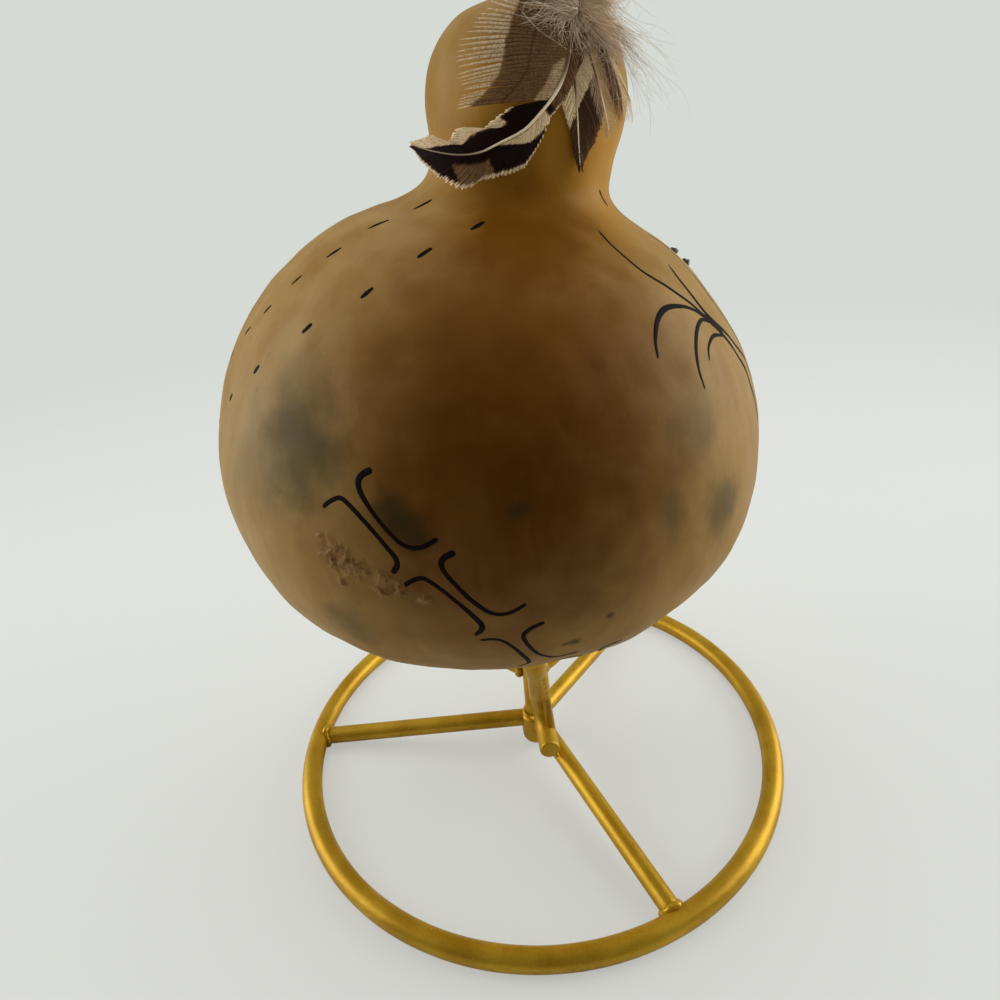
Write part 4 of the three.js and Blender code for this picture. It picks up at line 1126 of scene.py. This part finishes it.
down_tone.mix((0.36, 0.22, 0.12), (0.80, 0.62, 0.43)).put(down_inputs["Base Color"])
wisp_material, wisp_inputs, wisp_place = new_material("wisp", Roughness=0.8, Specular_IOR_Level=0.1)
wisp_place.noise(200, 3).mix((0.62, 0.47, 0.33), (0.95, 0.82, 0.66)).put(wisp_inputs["Base Color"])

# Spines are in degrees round the gourd, mm below the crown's top and mm off the skin; sides are rows of
# the share of the vane's length, a barb's reach in mm and its angle to the shaft in degrees.
feathers = {
    "curled": dict(
        corner=135, closed=0.42, stiff=8, fill=0.6, seed=11, ground=0.0, fringe=1,
        tufts=((1250, 10.5, -120, -5), (450, 8.5, 5, 120)), wisps=((44, 19, -110, -40), (24, 14, 30, 100)),
        spine=[(-70, 2.3, 4.8), (-76, 7.9, 5.2), (-78, 11, 4.9), (-80, 15.3, 4.6), (-83, 18.5, 4.6),
               (-89, 22.5, 4.8), (-94, 25.1, 5.1), (-103, 27.7, 5.6), (-111, 29.8, 6.3), (-119, 30.7, 6.8),
               (-131, 30.8, 7.3), (-146, 30.2, 7.8)],
        left=[(0, 1, 68), (0.05, 4, 72), (0.12, 12, 76), (0.19, 18.5, 77), (0.27, 20, 73), (0.33, 17.8, 62),
              (0.38, 15.5, 53), (0.42, 13.5, 46), (0.421, 5.0, 42), (0.47, 5.9, 38), (0.53, 6.1, 34),
              (0.6, 5.6, 31), (0.67, 4.7, 29), (0.74, 4.1, 27), (0.8, 3.0, 25), (0.87, 1.8, 23),
              (0.94, 0.9, 20), (1, 0.3, 16)],
        right=[(0, 1, 60), (0.1, 2.4, 50), (0.36, 1.8, 40), (0.42, 1.8, 38), (0.44, 3.2, 36),
               (0.47, 4.1, 35), (0.5, 4.6, 34), (0.56, 4.7, 32), (0.63, 4.6, 30), (0.7, 4.2, 28),
               (0.77, 3.4, 26), (0.84, 2.5, 24), (0.9, 1.6, 22), (0.95, 0.9, 19), (1, 0.4, 16)],
        patches=[(0.38, -2, 99, -40, -7, 0), (0.38, -2, 24.2, -7, -0.2, -1.1), (0.85, -2, 99, -40, -11.5, 0),
                 (0.75, 16, 24.2, -2.6, -0.2, -1.1), (0.33, -2, 25, 0.2, 9, 0), (1.0, 33, 46, -6.9, -3.4, 0),
                 (1.0, 54, 200, -5.1, 0, 3.45), (1.0, 26.5, 32, 0.2, 2.1, 0),
                 (1.0, 32.5, 37.8, 0.2, 2.3, -2.8), (0.45, 40, 47, 1.6, 4.6, 0)]),
    "banded": dict(
        corner=225, closed=0.85, stiff=20, fill=0.6, seed=12, ground=0.27, fringe=0,
        tufts=((260, 7, -100, 100),), wisps=(),
        spine=[(-67, 2.4, 1.2), (-74, 9.2, 1.2), (-72, 15.7, 1.2), (-68, 22.3, 1.2), (-64, 27.5, 1.4),
               (-61, 30.8, 1.6)],
        left=[(0, 0.8, 45), (0.2, 3.2, 40), (0.4, 3.4, 34), (0.6, 2.2, 30), (0.75, 1.3, 26), (0.9, 0.8, 20),
              (1, 0.4, 16)],
        right=[(0, 1, 55), (0.15, 4.0, 50), (0.38, 6.8, 36), (0.5, 5.9, 32), (0.6, 4.6, 28), (0.7, 3.2, 25),
               (0.8, 2.0, 22), (0.9, 1.0, 20), (1, 0.4, 16)],
        patches=[(1.0, 16.2, 21.8, -9, 9, -1.45), (0.17, 21.8, 60, -9, 9, -1.45)]),
    "fine": dict(
        corner=45, closed=0.2, stiff=0, fill=0.16, seed=13, ground=0.85, fringe=0,
        tufts=((260, 7, -60, 110),),
        wisps=((26, 12, 15, 80),),
        spine=[(-62, 2.2, 3.3), (-67, 8.9, 2.9), (-62, 15.3, 2.8), (-56, 20.1, 2.8), (-51, 23.5, 2.8)],
        left=[(0, 0.8, 50), (0.3, 1.8, 40), (0.6, 2.2, 32), (0.8, 1.8, 26), (0.93, 1.0, 20), (1, 0.4, 16)],
        right=[(0, 0.8, 50), (0.3, 2.4, 40), (0.6, 3.0, 32), (0.8, 2.6, 26), (0.93, 1.2, 20), (1, 0.4, 16)],
        patches=[]),
    "downy": dict(
        corner=315, closed=0.25, stiff=0, fill=0.5, seed=14, ground=0.33, fringe=0,
        tufts=((420, 9, -60, 120),),
        wisps=((110, 17, 5, 105),),
        spine=[(-46, 1.8, 1.2), (-53, 6.8, 1.0), (-52, 11.5, 1.2), (-43, 17.9, 1.4)],
        left=[(0, 0.8, 50), (0.4, 1.6, 40), (0.8, 1.5, 28), (1, 0.4, 18)],
        right=[(0, 1, 55), (0.3, 3.5, 45), (0.6, 6, 34), (0.8, 5.5, 28), (0.93, 3, 22), (1, 0.5, 16)],
        patches=[(1.0, -5, 60, 1.4, 19, 0)]),
}
for name, feather in feathers.items():
    rng = np.random.default_rng(feather["seed"])
    spine = Spine(feather["corner"], feather["spine"])
    centre, half, marks = vane(spine, feather, rng)
    points, faces = barb_ribbons(centre, half, 0.05 * mm)
    uv = np.repeat(marks, 3, axis=1).reshape(-1, 4)
    paint = feather_paint(f"plume_{name}", feather["patches"], feather["ground"], feather["fringe"])
    plume = add_barbs(f"vane_{name}", points, faces, paint, uv)
    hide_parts(f"feather_{name}")
    taper = np.interp(spine.reach / spine.length, [0, 0.25, 0.6, 1], [1, 0.8, 0.5, 0.14]) * quill_radius
    shaft_points, shaft_faces = closed_tube(tube(spine.path, taper, (0.3, 0.2, 1), around=10))
    shaft_uv = np.repeat(np.stack([spine.reach / mm / 100, 0 * spine.reach], 1), 10, axis=0)
    add_barbs(f"shaft_{name}", shaft_points, shaft_faces, shaft_material, shaft_uv)
    first, last = quill_length, bare_length + 6 * mm
    tufts = [down(spine, first, last, count, long * mm, ways, rng) for count, long, *ways in feather["tufts"]]
    fluff = [np.concatenate(part) for part in zip(*tufts)]
    add_barbs(f"down_{name}", *barb_ribbons(*fluff, 0.04 * mm), down_material)
    if feather["wisps"]:
        hairs = [down(spine, first, last + 3 * mm, count, long * mm, ways, rng, 0.7) for count, long, *ways in feather["wisps"]]
        add_barbs(f"wisps_{name}", *barb_ribbons(*(np.concatenate(part) for part in zip(*hairs)), 0.03 * mm), wisp_material)
